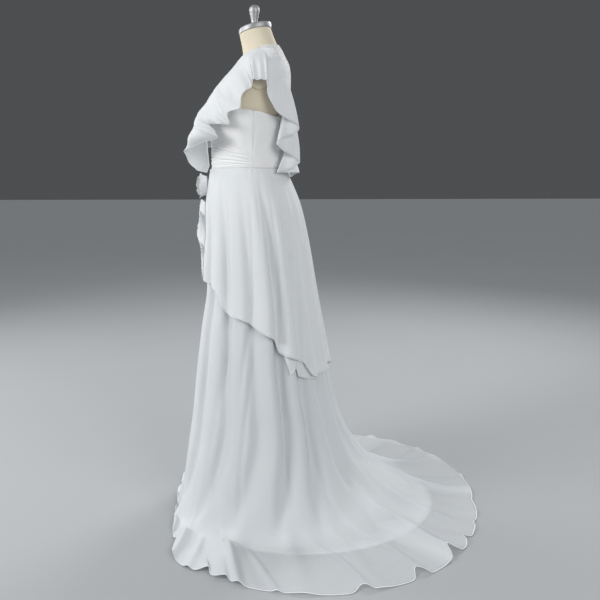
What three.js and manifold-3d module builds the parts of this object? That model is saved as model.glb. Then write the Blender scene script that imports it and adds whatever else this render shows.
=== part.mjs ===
// A long wedding dress of sheer chiffon, worn by a limbless dress form on a pole and a round base.
// Millimetres, +Z up. The origin is on the floor under the pole. The dress faces -Y, its train lies
// towards +Y, and the wearer's left side is +X.
// Angles round the body are in degrees: -90 is the centre front, 0 the left side, 90 the centre back.

import * as THREE from "three";
import Module from "manifold-3d";
import { mergeVertices } from "three/addons/utils/BufferGeometryUtils.js";

const wasm = await Module();
wasm.setup();

// Driving dimensions
const WAIST_HEIGHT = 1136;
const SEAM_GAP = 0.3;
const FLOOR_SNAP = 0.6;
const FORM_BOTTOM = 872;
const BODICE_CLEARANCE = 4.0;
const BODICE_WALL = 1.6;
const LACE_WALL = 1.4;
const SKIRT_WALL = 1.5;
const LINING_WALL = 1.5;
const OVERSKIRT_WALL = 1.4;
const FLOUNCE_WALL = 1.4;
const POLE_RADIUS = 14;
const BASE_RADIUS = 165;
const BASE_THICKNESS = 12;
const HUB_RADIUS = 30;
const HUB_HEIGHT = 40;
const POLE_TOP = FORM_BOTTOM - SEAM_GAP;

// The dress form's level sections: half width, front and back of the section.
const FORM_SECTIONS = [
  { z: 872, halfWidth: 138, front: -104, back: 98 },
  { z: 905, halfWidth: 160, front: -120, back: 116 },
  { z: 980, halfWidth: 163, front: -128, back: 118 },
  { z: 1060, halfWidth: 155, front: -134, back: 104 },
  { z: 1136, halfWidth: 147, front: -138, back: 95 },
  { z: 1200, halfWidth: 151, front: -138, back: 96 },
  { z: 1270, halfWidth: 166, front: -143, back: 103 },
  { z: 1330, halfWidth: 179, front: -145, back: 109 },
  { z: 1390, halfWidth: 183, front: -121, back: 114 },
  { z: 1440, halfWidth: 177, front: -82, back: 115 },
  { z: 1470, halfWidth: 160, front: -60, back: 112 },
  { z: 1488, halfWidth: 132, front: -50, back: 106 },
  { z: 1503, halfWidth: 101, front: -43, back: 99 },
  { z: 1518, halfWidth: 77, front: -38, back: 92 },
  { z: 1540, halfWidth: 63, front: -40, back: 77 },
  { z: 1565, halfWidth: 57, front: -44, back: 64 },
  { z: 1592, halfWidth: 55, front: -49, back: 54 },
];
const NECK_TILT_DEG = 13;
const NECK_TOP = 1592;
const BUST = { apart: 84, height: 1322, radius: 62, depth: 17 };

// The skirt's sections from the waist down. Each is an oval with its own height at front, side and back.
const SKIRT_SECTIONS = [
  { at: 0.0, yFront: -146, xSide: 155, yBack: 103, zFront: 1136, zSide: 1136, zBack: 1136 },
  { at: 0.05, yFront: -152, xSide: 171, yBack: 123, zFront: 1085, zSide: 1085, zBack: 1085 },
  { at: 0.12, yFront: -157, xSide: 193, yBack: 150, zFront: 1000, zSide: 1000, zBack: 1000 },
  { at: 0.22, yFront: -160, xSide: 211, yBack: 176, zFront: 880, zSide: 880, zBack: 880 },
  { at: 0.33, yFront: -164, xSide: 221, yBack: 198, zFront: 740, zSide: 740, zBack: 745 },
  { at: 0.44, yFront: -184, xSide: 229, yBack: 219, zFront: 600, zSide: 600, zBack: 610 },
  { at: 0.55, yFront: -201, xSide: 237, yBack: 245, zFront: 450, zSide: 450, zBack: 470 },
  { at: 0.65, yFront: -216, xSide: 245, yBack: 277, zFront: 310, zSide: 310, zBack: 345 },
  { at: 0.73, yFront: -233, xSide: 255, yBack: 318, zFront: 195, zSide: 195, zBack: 248 },
  { at: 0.79, yFront: -245, xSide: 268, yBack: 372, zFront: 105, zSide: 100, zBack: 170 },
  { at: 0.84, yFront: -254, xSide: 287, yBack: 446, zFront: 45, zSide: 38, zBack: 102 },
  { at: 0.88, yFront: -258, xSide: 318, yBack: 532, zFront: 14, zSide: 9, zBack: 48 },
  { at: 0.92, yFront: -262, xSide: 375, yBack: 620, zFront: 4.5, zSide: 4.2, zBack: 14 },
  { at: 0.96, yFront: -266, xSide: 445, yBack: 692, zFront: 2.4, zSide: 2.2, zBack: 3 },
  { at: 1.0, yFront: -271, xSide: 512, yBack: 755, zFront: 1.7, zSide: 1.7, zBack: 1.7 },
];
const LINING_SECTIONS = [
  { at: 0.0, yFront: -146, xSide: 155, yBack: 103, zFront: 1136, zSide: 1136, zBack: 1136 },
  { at: 0.06, yFront: -152, xSide: 171, yBack: 123, zFront: 1085, zSide: 1085, zBack: 1085 },
  { at: 0.15, yFront: -157, xSide: 193, yBack: 150, zFront: 1000, zSide: 1000, zBack: 1000 },
  { at: 0.27, yFront: -160, xSide: 211, yBack: 176, zFront: 880, zSide: 880, zBack: 880 },
  { at: 0.4, yFront: -164, xSide: 221, yBack: 198, zFront: 740, zSide: 740, zBack: 745 },
  { at: 0.53, yFront: -184, xSide: 229, yBack: 219, zFront: 600, zSide: 600, zBack: 610 },
  { at: 0.66, yFront: -201, xSide: 237, yBack: 244, zFront: 450, zSide: 450, zBack: 468 },
  { at: 0.78, yFront: -215, xSide: 244, yBack: 272, zFront: 310, zSide: 310, zBack: 340 },
  { at: 0.86, yFront: -221, xSide: 239, yBack: 288, zFront: 195, zSide: 195, zBack: 238 },
  { at: 0.92, yFront: -228, xSide: 244, yBack: 328, zFront: 105, zSide: 96, zBack: 150 },
  { at: 0.96, yFront: -233, xSide: 256, yBack: 388, zFront: 50, zSide: 32, zBack: 70 },
  { at: 0.98, yFront: -236, xSide: 280, yBack: 480, zFront: 28, zSide: 7, zBack: 20 },
  { at: 1.0, yFront: -240, xSide: 322, yBack: 608, zFront: 12, zSide: 1.5, zBack: 1.5 },
];
// How far the lining and the overskirt lie from the skirt, at the waist and lower down.
const LINING_INSET = { waist: 2.2, below: 11.5 };
const OVERSKIRT_OFFSET = { waist: 2.2, below: 9, hemFlare: 7 };

// One row a fold: its angle at the waist, the knee and the hem, its depth while it hangs,
// and the height of the ridge that it becomes on the floor.
const FOLDS = [
  { waist: -90, knee: -90, hem: -92, depth: 10, ridge: 9, width: 6 },
  { waist: -62, knee: -62, hem: -80, depth: 15, ridge: 12, width: 6 },
  { waist: -40, knee: -34, hem: -65, depth: 21, ridge: 17, width: 6 },
  { waist: -14, knee: -6, hem: -43, depth: 15, ridge: 22, width: 8 },
  { waist: 10, knee: 15, hem: -16, depth: 27, ridge: 14, width: 6 },
  { waist: 31, knee: 34, hem: 8, depth: 21, ridge: 12, width: 5.5 },
  { waist: 50, knee: 54, hem: 41, depth: 22, ridge: 30, width: 6 },
  { waist: 70, knee: 72, hem: 60, depth: 17, ridge: 16, width: 5 },
  { waist: 90, knee: 91, hem: 88, depth: 15, ridge: 18, width: 5 },
  { waist: 110, knee: 112, hem: 117, depth: 20, ridge: 20, width: 6 },
  { waist: 130, knee: 130, hem: 139, depth: 16, ridge: 14, width: 5 },
  { waist: 150, knee: 148, hem: 170, depth: 24, ridge: 20, width: 6 },
  { waist: 172, knee: 174, hem: 197, depth: 18, ridge: 13, width: 7 },
  { waist: 196, knee: 199, hem: 226, depth: 22, ridge: 20, width: 6 },
  { waist: 220, knee: 218, hem: 243, depth: 17, ridge: 14, width: 6 },
  { waist: 242, knee: 240, hem: 257, depth: 14, ridge: 10, width: 5 },
];
const KNEE_AT = 0.62;
const LANDING_AT = 0.86;
// Folds are steeper on the side that faces the front of the dress.
const FOLD_SKEW = { front: 1.45, back: 0.8 };
// How far the hem reaches over the floor, as a share of its oval, and the notches where folds end in it.
const HEM_CENTRE = 239;
const HEM_REACH = [
  { angle: -90, share: 0.985 },
  { angle: -78, share: 1.01 },
  { angle: -68, share: 1.05 },
  { angle: -57, share: 1.115 },
  { angle: -47, share: 1.085 },
  { angle: -36, share: 1.04 },
  { angle: -24, share: 1.005 },
  { angle: -8, share: 0.98 },
  { angle: 10, share: 0.965 },
  { angle: 30, share: 0.97 },
  { angle: 50, share: 0.975 },
  { angle: 68, share: 0.98 },
  { angle: 88, share: 1 },
  { angle: 100, share: 1.03 },
  { angle: 130, share: 1.047 },
  { angle: 150, share: 1.04 },
  { angle: 170, share: 1 },
  { angle: 190, share: 0.975 },
  { angle: 212, share: 0.98 },
  { angle: 232, share: 1.02 },
  { angle: 246, share: 1.06 },
  { angle: 258, share: 1.03 },
  { angle: 270, share: 0.985 },
];
const HEM_NOTCHES = [
  { angle: -65, depth: 16, width: 2.2 },
  { angle: -46, depth: 24, width: 2 },
  { angle: -39, depth: 13, width: 1.8 },
  { angle: 4, depth: 18, width: 2 },
  { angle: 25, depth: 30, width: 1.8 },
  { angle: 43, depth: 36, width: 1.9 },
  { angle: 54, depth: 24, width: 1.9 },
  { angle: 66, depth: 8, width: 2 },
  { angle: 82, depth: 8, width: 3 },
  { angle: 119, depth: 9, width: 2.5 },
  { angle: 138, depth: 7, width: 2.5 },
  { angle: 171, depth: 24, width: 2 },
  { angle: 186, depth: 12, width: 2.2 },
  { angle: 198, depth: 30, width: 1.8 },
  { angle: 214, depth: 16, width: 2 },
  { angle: 228, depth: 27, width: 1.9 },
  { angle: 243, depth: 18, width: 2.1 },
  { angle: 256, depth: 10, width: 2.2 },
];
const NOTCH_LIFT = 0.35;

// The overskirt's hem, higher in front. Angles are for the left side and mirrored on the right.
const OVERSKIRT_HEM = [
  { angle: -90, z: 815 },
  { angle: -73, z: 779 },
  { angle: -56, z: 766 },
  { angle: -46, z: 756 },
  { angle: -37, z: 692 },
  { angle: -27, z: 685 },
  { angle: -18, z: 678 },
  { angle: -2, z: 642 },
  { angle: 11, z: 613 },
  { angle: 15, z: 574 },
  { angle: 24, z: 556 },
  { angle: 37, z: 532 },
  { angle: 43, z: 486 },
  { angle: 54, z: 477 },
  { angle: 66, z: 485 },
  { angle: 76, z: 492 },
  { angle: 90, z: 470 },
];
const OVERSKIRT_EDGE = { waist: -87, hem: -73 };

// The flounce's seam on the body, from the front waist over the shoulder to the back waist.
const FLOUNCE_SEAM = [
  { along: 0.0, x: 12, y: -152, z: 1148 },
  { along: 0.12, x: 26, y: -160, z: 1232 },
  { along: 0.25, x: 42, y: -164, z: 1316 },
  { along: 0.37, x: 62, y: -128, z: 1392 },
  { along: 0.46, x: 78, y: -72, z: 1456 },
  { along: 0.53, x: 84, y: -26, z: 1498 },
  { along: 0.58, x: 80, y: 0, z: 1517 },
  { along: 0.63, x: 88, y: 26, z: 1514 },
  { along: 0.67, x: 106, y: 46, z: 1499 },
  { along: 0.72, x: 136, y: 62, z: 1472 },
  { along: 0.77, x: 130, y: 84, z: 1441 },
  { along: 0.83, x: 94, y: 99, z: 1400 },
  { along: 0.89, x: 62, y: 112, z: 1326 },
  { along: 0.95, x: 34, y: 108, z: 1226 },
  { along: 1.0, x: 14, y: 104, z: 1150 },
];
// The flounce's free edge: one row a corner or tip of its waves. "along" is where on the seam it hangs
// from, and "bulge" is how far the cloth stands out from a straight line between seam and edge.
const FLOUNCE_EDGE = [
  { along: 0.0, x: 22, y: -160, z: 1126, bulge: 0 },
  { along: 0.05, x: 36, y: -190, z: 1134, bulge: 6 },
  { along: 0.1, x: 46, y: -229, z: 1191, bulge: 8 },
  { along: 0.16, x: 112, y: -190, z: 1210, bulge: 40 },
  { along: 0.22, x: 172, y: -116, z: 1232, bulge: 57 },
  { along: 0.27, x: 146, y: -146, z: 1274, bulge: 31 },
  { along: 0.33, x: 190, y: -78, z: 1268, bulge: 30 },
  { along: 0.38, x: 184, y: -86, z: 1301, bulge: 22 },
  { along: 0.41, x: 202, y: -46, z: 1320, bulge: 18 },
  { along: 0.44, x: 214, y: -42, z: 1352, bulge: 20 },
  { along: 0.49, x: 204, y: -10, z: 1384, bulge: 26 },
  { along: 0.54, x: 222, y: -8, z: 1399, bulge: 34 },
  { along: 0.61, x: 222, y: 32, z: 1399, bulge: 34 },
  { along: 0.65, x: 202, y: 36, z: 1366, bulge: 26 },
  { along: 0.7, x: 190, y: 62, z: 1312, bulge: 14 },
  { along: 0.76, x: 140, y: 139, z: 1262, bulge: 12 },
  { along: 0.82, x: 160, y: 66, z: 1214, bulge: 10 },
  { along: 0.88, x: 108, y: 141, z: 1157, bulge: 12 },
  { along: 0.93, x: 146, y: 66, z: 1124, bulge: 8 },
  { along: 0.97, x: 66, y: 143, z: 1126, bulge: 8 },
  { along: 1.0, x: 26, y: 118, z: 1112, bulge: 0 },
];

// The ruffle that falls down each front edge of the overskirt.
const CASCADE_SEAM = { from: 0.34, to: 0.99, inFromEdge: 0.004, out: 1.7 };
const CASCADE_EDGE = [
  { along: 0.0, x: 10, y: -174, z: 1034, bulge: 0 },
  { along: 0.16, x: 2.5, y: -184, z: 1004, bulge: 3 },
  { along: 0.3, x: 48, y: -181, z: 985, bulge: 4 },
  { along: 0.5, x: 4, y: -193, z: 922, bulge: 5 },
  { along: 0.68, x: 66, y: -176, z: 880, bulge: 3 },
  { along: 0.84, x: 40, y: -176, z: 826, bulge: 2 },
  { along: 1.0, x: 74, y: -172, z: 790, bulge: 1 },
];

const ROSETTE = { radius: 41, z: 1081, y: -159.2, depth: 33, petals: 7, turns: 2.4 };

// How many quads across and down each cloth has.
const GRID = {
  skirt: [72, SKIRT_SECTIONS.length - 1],
  lining: [48, LINING_SECTIONS.length - 1],
  overskirt: [64, 7],
  flounce: [57, 4],
  cascade: [18, 3],
  front: [7, 35],
  side: [3, 3],
  back: [6, 4],
  lace: [12, 10],
};

const radians = (degrees) => (degrees * Math.PI) / 180;
const clamp = (value, low, high) => Math.min(high, Math.max(low, value));
const mix = (a, b, share) => a + (b - a) * share;
const ease = (low, high, value) => {
  const share = clamp((value - low) / (high - low), 0, 1);
  return share * share * (3 - 2 * share);
};

// A smooth curve through one column of a table that never overshoots its rows.
function column(rows, by, of) {
  const x = rows.map((row) => row[by]);
  const y = rows.map((row) => row[of]);
  const step = y.slice(1).map((next, i) => (next - y[i]) / (x[i + 1] - x[i]));
  const slope = y.map((_, i) => {
    if (i === 0) return step[0];
    if (i === y.length - 1) return step[i - 1];
    if (step[i - 1] * step[i] <= 0) return 0;
    return (2 * step[i - 1] * step[i]) / (step[i - 1] + step[i]);
  });
  return (value) => {
    const v = clamp(value, x[0], x[x.length - 1]);
    let i = 0;
    while (i < x.length - 2 && v > x[i + 1]) i += 1;
    const width = x[i + 1] - x[i];
    const t = (v - x[i]) / width;
    const a = 2 * t ** 3 - 3 * t ** 2 + 1;
    const b = t ** 3 - 2 * t ** 2 + t;
    const c = -2 * t ** 3 + 3 * t ** 2;
    const d = t ** 3 - t ** 2;
    return a * y[i] + b * width * slope[i] + c * y[i + 1] + d * width * slope[i + 1];
  };
}
const columns = (rows, by, names) => {
  const made = names.map((name) => column(rows, by, name));
  return (value) => Object.fromEntries(names.map((name, i) => [name, made[i](value)]));
};

const formAt = columns(FORM_SECTIONS, "z", ["halfWidth", "front", "back"]);

// How far the bust stands forward of the plain section at a point of the front.
function bustAt(x, z) {
  const rise = ((z - BUST.height) / BUST.radius) ** 2;
  const left = ((x - BUST.apart) / BUST.radius) ** 2;
  const right = ((x + BUST.apart) / BUST.radius) ** 2;
  return BUST.depth * (Math.exp(-rise - left) + Math.exp(-rise - right));
}

// A point of the form's own surface.
function formPoint(z, angleDeg) {
  const { halfWidth, front, back } = formAt(z);
  const angle = radians(angleDeg);
  const x = halfWidth * Math.cos(angle);
  let y = (front + back) / 2 + ((back - front) / 2) * Math.sin(angle);
  if (Math.sin(angle) < 0) y += bustAt(x, z) * Math.sin(angle);
  const lean = ease(1500, NECK_TOP, z) * Math.tan(radians(NECK_TILT_DEG));
  return new THREE.Vector3(x, y, z + y * lean);
}

// The same point moved straight out from the surface.
function bodyPoint(z, angleDeg, out) {
  const round = formPoint(z, angleDeg + 1).sub(formPoint(z, angleDeg - 1));
  const rise = formPoint(z + 2, angleDeg).sub(formPoint(z - 2, angleDeg));
  return formPoint(z, angleDeg).addScaledVector(round.cross(rise).normalize(), out);
}

// How far a point is from the form, seen level and corrected for the slope.
function levelReach(point) {
  const { halfWidth, front, back } = formAt(point.z);
  const middle = (front + back) / 2;
  const angle = Math.atan2((point.y - middle) / ((back - front) / 2), point.x / halfWidth);
  const wall = formPoint(point.z, (angle * 180) / Math.PI);
  return Math.hypot(point.x, point.y - middle) - Math.hypot(wall.x, wall.y - middle);
}
function clearOfBody(point, out) {
  const moved = point.clone();
  for (let i = 0; i < 8; i += 1) {
    const reach = levelReach(moved);
    const slope = new THREE.Vector3();
    for (const axis of ["x", "y", "z"]) {
      const ahead = moved.clone();
      ahead[axis] += 1;
      slope[axis] = levelReach(ahead) - reach;
    }
    const distance = reach / slope.length();
    if (distance >= out) break;
    moved.addScaledVector(slope.normalize(), out - distance);
  }
  return moved;
}

// A closed cloth wall. "surface" gives its outer face, from the waist or seam down and from the
// front round to the back. The inner face lies one wall inside, and never under the floor.
function clothSolid(surface, [across, down], wall, { closed = false, mirror = false } = {}) {
  const count = closed ? across : across + 1;
  const outer = [];
  for (let j = 0; j <= down; j += 1)
    for (let i = 0; i < count; i += 1) outer.push(surface(i / across, j / down));
  const at = (i, j) => {
    const column_ = closed ? (i + across) % across : clamp(i, 0, across);
    return outer[clamp(j, 0, down) * count + column_];
  };
  const inner = outer.map((point, k) => {
    const i = k % count;
    const j = Math.floor(k / count);
    const round = at(i + 1, j).clone().sub(at(i - 1, j));
    const fall = at(i, j + 1).clone().sub(at(i, j - 1));
    const normal = fall.cross(round).normalize();
    const moved = point.clone().addScaledVector(normal, -wall);
    if (moved.z < FLOOR_SNAP) moved.z = 0;
    return moved;
  });
  const faces = [];
  const quad = (a, b, c, d) => faces.push([a, b, c], [a, c, d]);
  const offset = outer.length;
  for (let j = 0; j < down; j += 1)
    for (let i = 0; i < across; i += 1) {
      const a = j * count + i;
      const b = j * count + ((i + 1) % count);
      const c = b + count;
      const d = a + count;
      quad(a, d, c, b);
      quad(offset + a, offset + b, offset + c, offset + d);
    }
  for (let i = 0; i < across; i += 1) {
    const next = (i + 1) % count;
    const last = down * count;
    quad(i, next, offset + next, offset + i);
    quad(last + i, offset + last + i, offset + last + next, last + next);
  }
  if (!closed)
    for (let j = 0; j < down; j += 1) {
      const a = j * count;
      const b = a + count;
      quad(a, offset + a, offset + b, b);
      quad(a + across, b + across, offset + b + across, offset + a + across);
    }
  const position = new Float32Array([...outer, ...inner].flatMap((p) => [mirror ? -p.x : p.x, p.y, p.z]));
  const index = faces.flatMap(([a, b, c]) => (mirror ? [a, c, b] : [a, b, c]));
  const made = new THREE.BufferGeometry();
  made.setAttribute("position", new THREE.BufferAttribute(position, 3));
  made.setIndex(index);
  return made;
}

// Closed rings joined into a solid with flat ends.
function loftSolid(rings) {
  const count = rings[0].length;
  const points = rings.flat();
  const low = points.length;
  const middle = (ring) => ring.reduce((sum, p) => sum.add(p), new THREE.Vector3()).divideScalar(count);
  points.push(middle(rings[0]), middle(rings[rings.length - 1]));
  const index = [];
  for (let j = 0; j + 1 < rings.length; j += 1)
    for (let i = 0; i < count; i += 1) {
      const a = j * count + i;
      const b = j * count + ((i + 1) % count);
      index.push(a, b, b + count, a, b + count, a + count);
    }
  const last = (rings.length - 1) * count;
  for (let i = 0; i < count; i += 1) {
    const next = (i + 1) % count;
    index.push(low, next, i, low + 1, last + i, last + next);
  }
  const made = new THREE.BufferGeometry();
  const position = new Float32Array(points.flatMap((p) => [p.x, p.y, p.z]));
  made.setAttribute("position", new THREE.BufferAttribute(position, 3));
  made.setIndex(index);
  return made;
}

// three.js geometry to a solid for a boolean, and back.
function toSolid(geometry) {
  const bare = geometry.clone();
  bare.deleteAttribute("normal");
  bare.deleteAttribute("uv");
  const merged = mergeVertices(bare, 1e-3);
  return new wasm.Manifold(
    new wasm.Mesh({
      numProp: 3,
      vertProperties: merged.attributes.position.array,
      triVerts: new Uint32Array(merged.index.array),
    }),
  );
}
function toGeometry(solid) {
  const mesh = solid.getMesh();
  const made = new THREE.BufferGeometry();
  made.setAttribute("position", new THREE.BufferAttribute(new Float32Array(mesh.vertProperties), 3));
  made.setIndex(new THREE.BufferAttribute(mesh.triVerts, 1));
  return made;
}

// The dress form
const FORM_COLUMNS = 26;
const FORM_RINGS = 20;

function formRing(z, out) {
  return Array.from({ length: FORM_COLUMNS }, (_, i) => bodyPoint(z, (360 * i) / FORM_COLUMNS, out));
}

function torso(out) {
  const rings = [];
  for (let j = 0; j <= FORM_RINGS; j += 1)
    rings.push(formRing(mix(FORM_BOTTOM, NECK_TOP, 1 - (1 - j / FORM_RINGS) ** 1.25), out));
  return loftSolid(rings);
}

// How many flats go round each turned piece.
const BASE_SEGMENTS = 24;
const POLE_SEGMENTS = 14;
const KNOB_SEGMENTS = 14;

// The plated cap on the neck, leaning with it, and the knob on top.
const CAP = { height: 19, margin: 2 };
function neckCap(gap = 0) {
  const lean = Math.tan(radians(NECK_TILT_DEG));
  const level = (rise, margin) =>
    formRing(NECK_TOP, margin).map((p) => new THREE.Vector3(p.x, p.y, NECK_TOP + rise + p.y * lean));
  return loftSolid([
    level(SEAM_GAP, CAP.margin - 1),
    level(2, CAP.margin),
    level(CAP.height - 3, CAP.margin),
    level(CAP.height + gap, CAP.margin - 5),
  ]);
}
const KNOB_OUTLINE = [
  { radius: 0, rise: 0 },
  { radius: 13, rise: 0 },
  { radius: 13, rise: 5 },
  { radius: 10, rise: 14 },
  { radius: 10.5, rise: 22 },
  { radius: 14.5, rise: 40 },
  { radius: 17.5, rise: 50 },
  { radius: 17.5, rise: 60 },
  { radius: 12, rise: 69 },
  { radius: 0, rise: 73 },
];
const KNOB_PLACE = new THREE.Vector3(2, 0, NECK_TOP + CAP.height - 3);
// The knob stands upright, its foot cut to the leaning cap.
function neckKnob() {
  const outline = KNOB_OUTLINE.map((row) => new THREE.Vector2(row.radius, row.rise));
  const turned = new THREE.LatheGeometry(outline, KNOB_SEGMENTS).rotateX(Math.PI / 2);
  turned.translate(...KNOB_PLACE.toArray());
  return toGeometry(toSolid(turned).subtract(toSolid(neckCap(SEAM_GAP))));
}

// The oval plate on each shoulder end, cut to the form's side.
const ARM_PLATE = { x: 188, y: 10, z: 1415, halfDepth: 30, halfHeight: 40, length: 30 };
function armPlate(side) {
  const oval = new THREE.CylinderGeometry(1, 1, ARM_PLATE.length, 24);
  oval.rotateZ(Math.PI / 2);
  oval.scale(1, ARM_PLATE.halfDepth, ARM_PLATE.halfHeight);
  oval.translate(side * (ARM_PLATE.x - ARM_PLATE.length / 2), ARM_PLATE.y, ARM_PLATE.z);
  return toGeometry(toSolid(oval).subtract(toSolid(torso(1.5 * SEAM_GAP))));
}

function base() {
  const outline = [
    [0, 0],
    [BASE_RADIUS, 0],
    [BASE_RADIUS, BASE_THICKNESS - 4],
    [BASE_RADIUS - 6, BASE_THICKNESS],
    [HUB_RADIUS, BASE_THICKNESS + 4],
    [HUB_RADIUS - 6, HUB_HEIGHT],
    [0, HUB_HEIGHT],
  ];
  const turned = new THREE.LatheGeometry(outline.map(([r, z]) => new THREE.Vector2(r, z)), BASE_SEGMENTS);
  return turned.rotateX(Math.PI / 2);
}
function pole() {
  const low = HUB_HEIGHT + SEAM_GAP;
  const made = new THREE.CylinderGeometry(POLE_RADIUS, POLE_RADIUS, POLE_TOP - low, POLE_SEGMENTS);
  return made.rotateX(Math.PI / 2).translate(0, 0, (POLE_TOP + low) / 2);
}

// The bodice. Ruched folds run round the waist and close up towards the side seam.
const SIDE_SEAM = 6;
const BACK_SEAM = 44;
const ARMHOLE_BOTTOM = 1312;
const RUCHES = { count: 8, spacing: 13, sideSpacing: 5.4, depth: 2.2, rows: 3, cupDepth: 1.2 };

const ruchSpacing = (toSide) => mix(RUCHES.spacing, RUCHES.sideSpacing, toSide ** 1.3);
function ruching(toSide, z) {
  const folds = (z - WAIST_HEIGHT) / ruchSpacing(toSide);
  const above = ease(RUCHES.count - 0.6, RUCHES.count + 0.6, folds);
  const fold = -RUCHES.depth * Math.cos(2 * Math.PI * folds) * ease(0, 0.7, folds) * (1 - above);
  const cup = RUCHES.cupDepth * Math.sin(toSide * 26 + z * 0.02) * above;
  return (fold + cup) * (1 - ease(0.9, 1, toSide));
}

// Angles of the neckline and the armhole on the front, by height.
const FRONT_EDGES = columns(
  [
    { z: 1136, inner: -89.86, outer: SIDE_SEAM },
    { z: 1230, inner: -89.86, outer: SIDE_SEAM },
    { z: 1290, inner: -89.86, outer: SIDE_SEAM },
    { z: ARMHOLE_BOTTOM, inner: -86, outer: SIDE_SEAM - 4 },
    { z: 1317, inner: -85, outer: -8 },
    { z: 1325, inner: -83, outer: -17 },
    { z: 1350, inner: -79, outer: -31 },
    { z: 1400, inner: -70, outer: -36 },
    { z: 1450, inner: -60, outer: -34 },
    { z: 1480, inner: -50, outer: -26 },
    { z: 1506, inner: -34, outer: -10 },
  ],
  "z",
  ["inner", "outer"],
);
// Heights of the front panel's rows above its ruched folds, at the neckline and at the armhole.
const CUP_ROWS = [
  { inner: 1506, outer: 1478 },
  { inner: 1486, outer: 1460 },
  { inner: 1461, outer: 1434 },
  { inner: 1430, outer: 1402 },
  { inner: 1400, outer: 1370 },
  { inner: 1374, outer: 1345 },
  { inner: 1350, outer: 1325 },
  { inner: 1330, outer: 1317 },
  { inner: 1310, outer: ARMHOLE_BOTTOM },
  { inner: 1285, outer: 1266 },
  { inner: 1262, outer: 1220 },
];
function frontPanel(across, down) {
  const row = down * GRID.front[1] - CUP_ROWS.length;
  const bottom = WAIST_HEIGHT + SEAM_GAP;
  const heightAt = (place) => {
    if (place >= 0) return bottom + (RUCHES.count - place / RUCHES.rows) * ruchSpacing(across);
    const cup = CUP_ROWS[Math.round(place) + CUP_ROWS.length];
    return mix(cup.inner, cup.outer, across);
  };
  const z = heightAt(row);
  const edges = FRONT_EDGES(z);
  const angle = mix(edges.inner, edges.outer, across);
  const onForm = BODICE_CLEARANCE + BODICE_WALL;
  return bodyPoint(z, angle, onForm + ruching(across, z));
}
function sidePanel(across, down) {
  const angle = mix(SIDE_SEAM + 0.45, BACK_SEAM, across);
  const top = mix(ARMHOLE_BOTTOM - 2, 1300, ease(0, 1, across));
  return bodyPoint(mix(top, WAIST_HEIGHT + SEAM_GAP, down), angle, BODICE_CLEARANCE + BODICE_WALL);
}
function backPanel(across, down) {
  const angle = mix(BACK_SEAM + 0.3, 89.9, across);
  const top = mix(1300, 1262, ease(0, 1, across));
  return bodyPoint(mix(top, WAIST_HEIGHT + SEAM_GAP, down), angle, BODICE_CLEARANCE + BODICE_WALL);
}

// The lace yoke: from the armholes to the centre back, up to a high neckline and over the shoulders.
const LACE_EDGES = columns(
  [
    { z: 1262, start: 44.2 },
    { z: 1300, start: 44.2 },
    { z: 1350, start: 38 },
    { z: 1400, start: 30 },
    { z: 1440, start: 24 },
    { z: 1480, start: 6 },
    { z: 1506, start: -4 },
    { z: 1530, start: -8 },
    { z: 1540, start: 0 },
  ],
  "z",
  ["start"],
);
function laceYoke(across, down) {
  const fromCentre = Math.abs(across * 2 - 1);
  const side = across < 0.5 ? 1 : -1;
  const top = mix(1537, 1535, fromCentre ** 2);
  const low = mix(1262, 1300, ease(0, 1, fromCentre)) + 2 * SEAM_GAP;
  const z = mix(top, low, down ** 1.5);
  const angle = mix(90, LACE_EDGES(z).start, fromCentre);
  const point = bodyPoint(z, angle, BODICE_CLEARANCE + LACE_WALL);
  return new THREE.Vector3(side * point.x, point.y, point.z);
}

// The skirt, its lining and the overskirt share one shape and one set of folds.
const SECTION_NAMES = ["yFront", "xSide", "yBack", "zFront", "zSide", "zBack"];
const skirtAt = columns(SKIRT_SECTIONS, "at", SECTION_NAMES);
const liningAt = columns(LINING_SECTIONS, "at", SECTION_NAMES);

function ovalPoint(section, angleDeg) {
  const cos = Math.cos(radians(angleDeg));
  const sin = Math.sin(radians(angleDeg));
  const middle = (section.yFront + section.yBack) / 2;
  const half = (section.yBack - section.yFront) / 2;
  const end = sin < 0 ? section.zFront : section.zBack;
  return new THREE.Vector3(
    section.xSide * cos,
    middle + half * sin,
    section.zSide * cos * cos + end * sin * sin,
  );
}

const wrap = (degrees) => degrees - 360 * Math.round(degrees / 360);
const foldAngle = (fold, at) =>
  at < KNEE_AT
    ? mix(fold.waist, fold.knee, at / KNEE_AT)
    : mix(fold.knee, fold.hem, ease(KNEE_AT, 1.02, at));

// How far in the folds draw the hanging cloth at one angle, and how far up they lift it on the floor.
function hangingFold(angleDeg, at) {
  const hanging = ease(0, 0.3, at) * (1 - ease(LANDING_AT - 0.14, LANDING_AT + 0.04, at));
  return FOLDS.reduce((sum, fold) => {
    const away = wrap(angleDeg - foldAngle(fold, at)) / (fold.width * mix(0.8, 1, at));
    const skewed = away * (away < 0 ? FOLD_SKEW.front : FOLD_SKEW.back);
    return sum - fold.depth * hanging * Math.exp(-(skewed ** 2));
  }, 0);
}
function floorRidge(angleDeg, at) {
  const lying = ease(LANDING_AT - 0.1, LANDING_AT + 0.02, at) * (1 - 0.55 * ease(0.9, 1, at));
  return FOLDS.reduce((sum, fold) => {
    const away = wrap(angleDeg - foldAngle(fold, at) - 1.5) / (fold.width * 0.7);
    return sum + fold.ridge * lying * Math.exp(-(away ** 2));
  }, 0);
}

// How deep the notches cut into the hem at one angle.
function notchDepth(angleDeg) {
  return HEM_NOTCHES.reduce((sum, notch) => {
    const away = wrap(angleDeg - notch.angle) / notch.width;
    return sum + notch.depth * Math.exp(-(away ** 2));
  }, 0);
}

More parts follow.
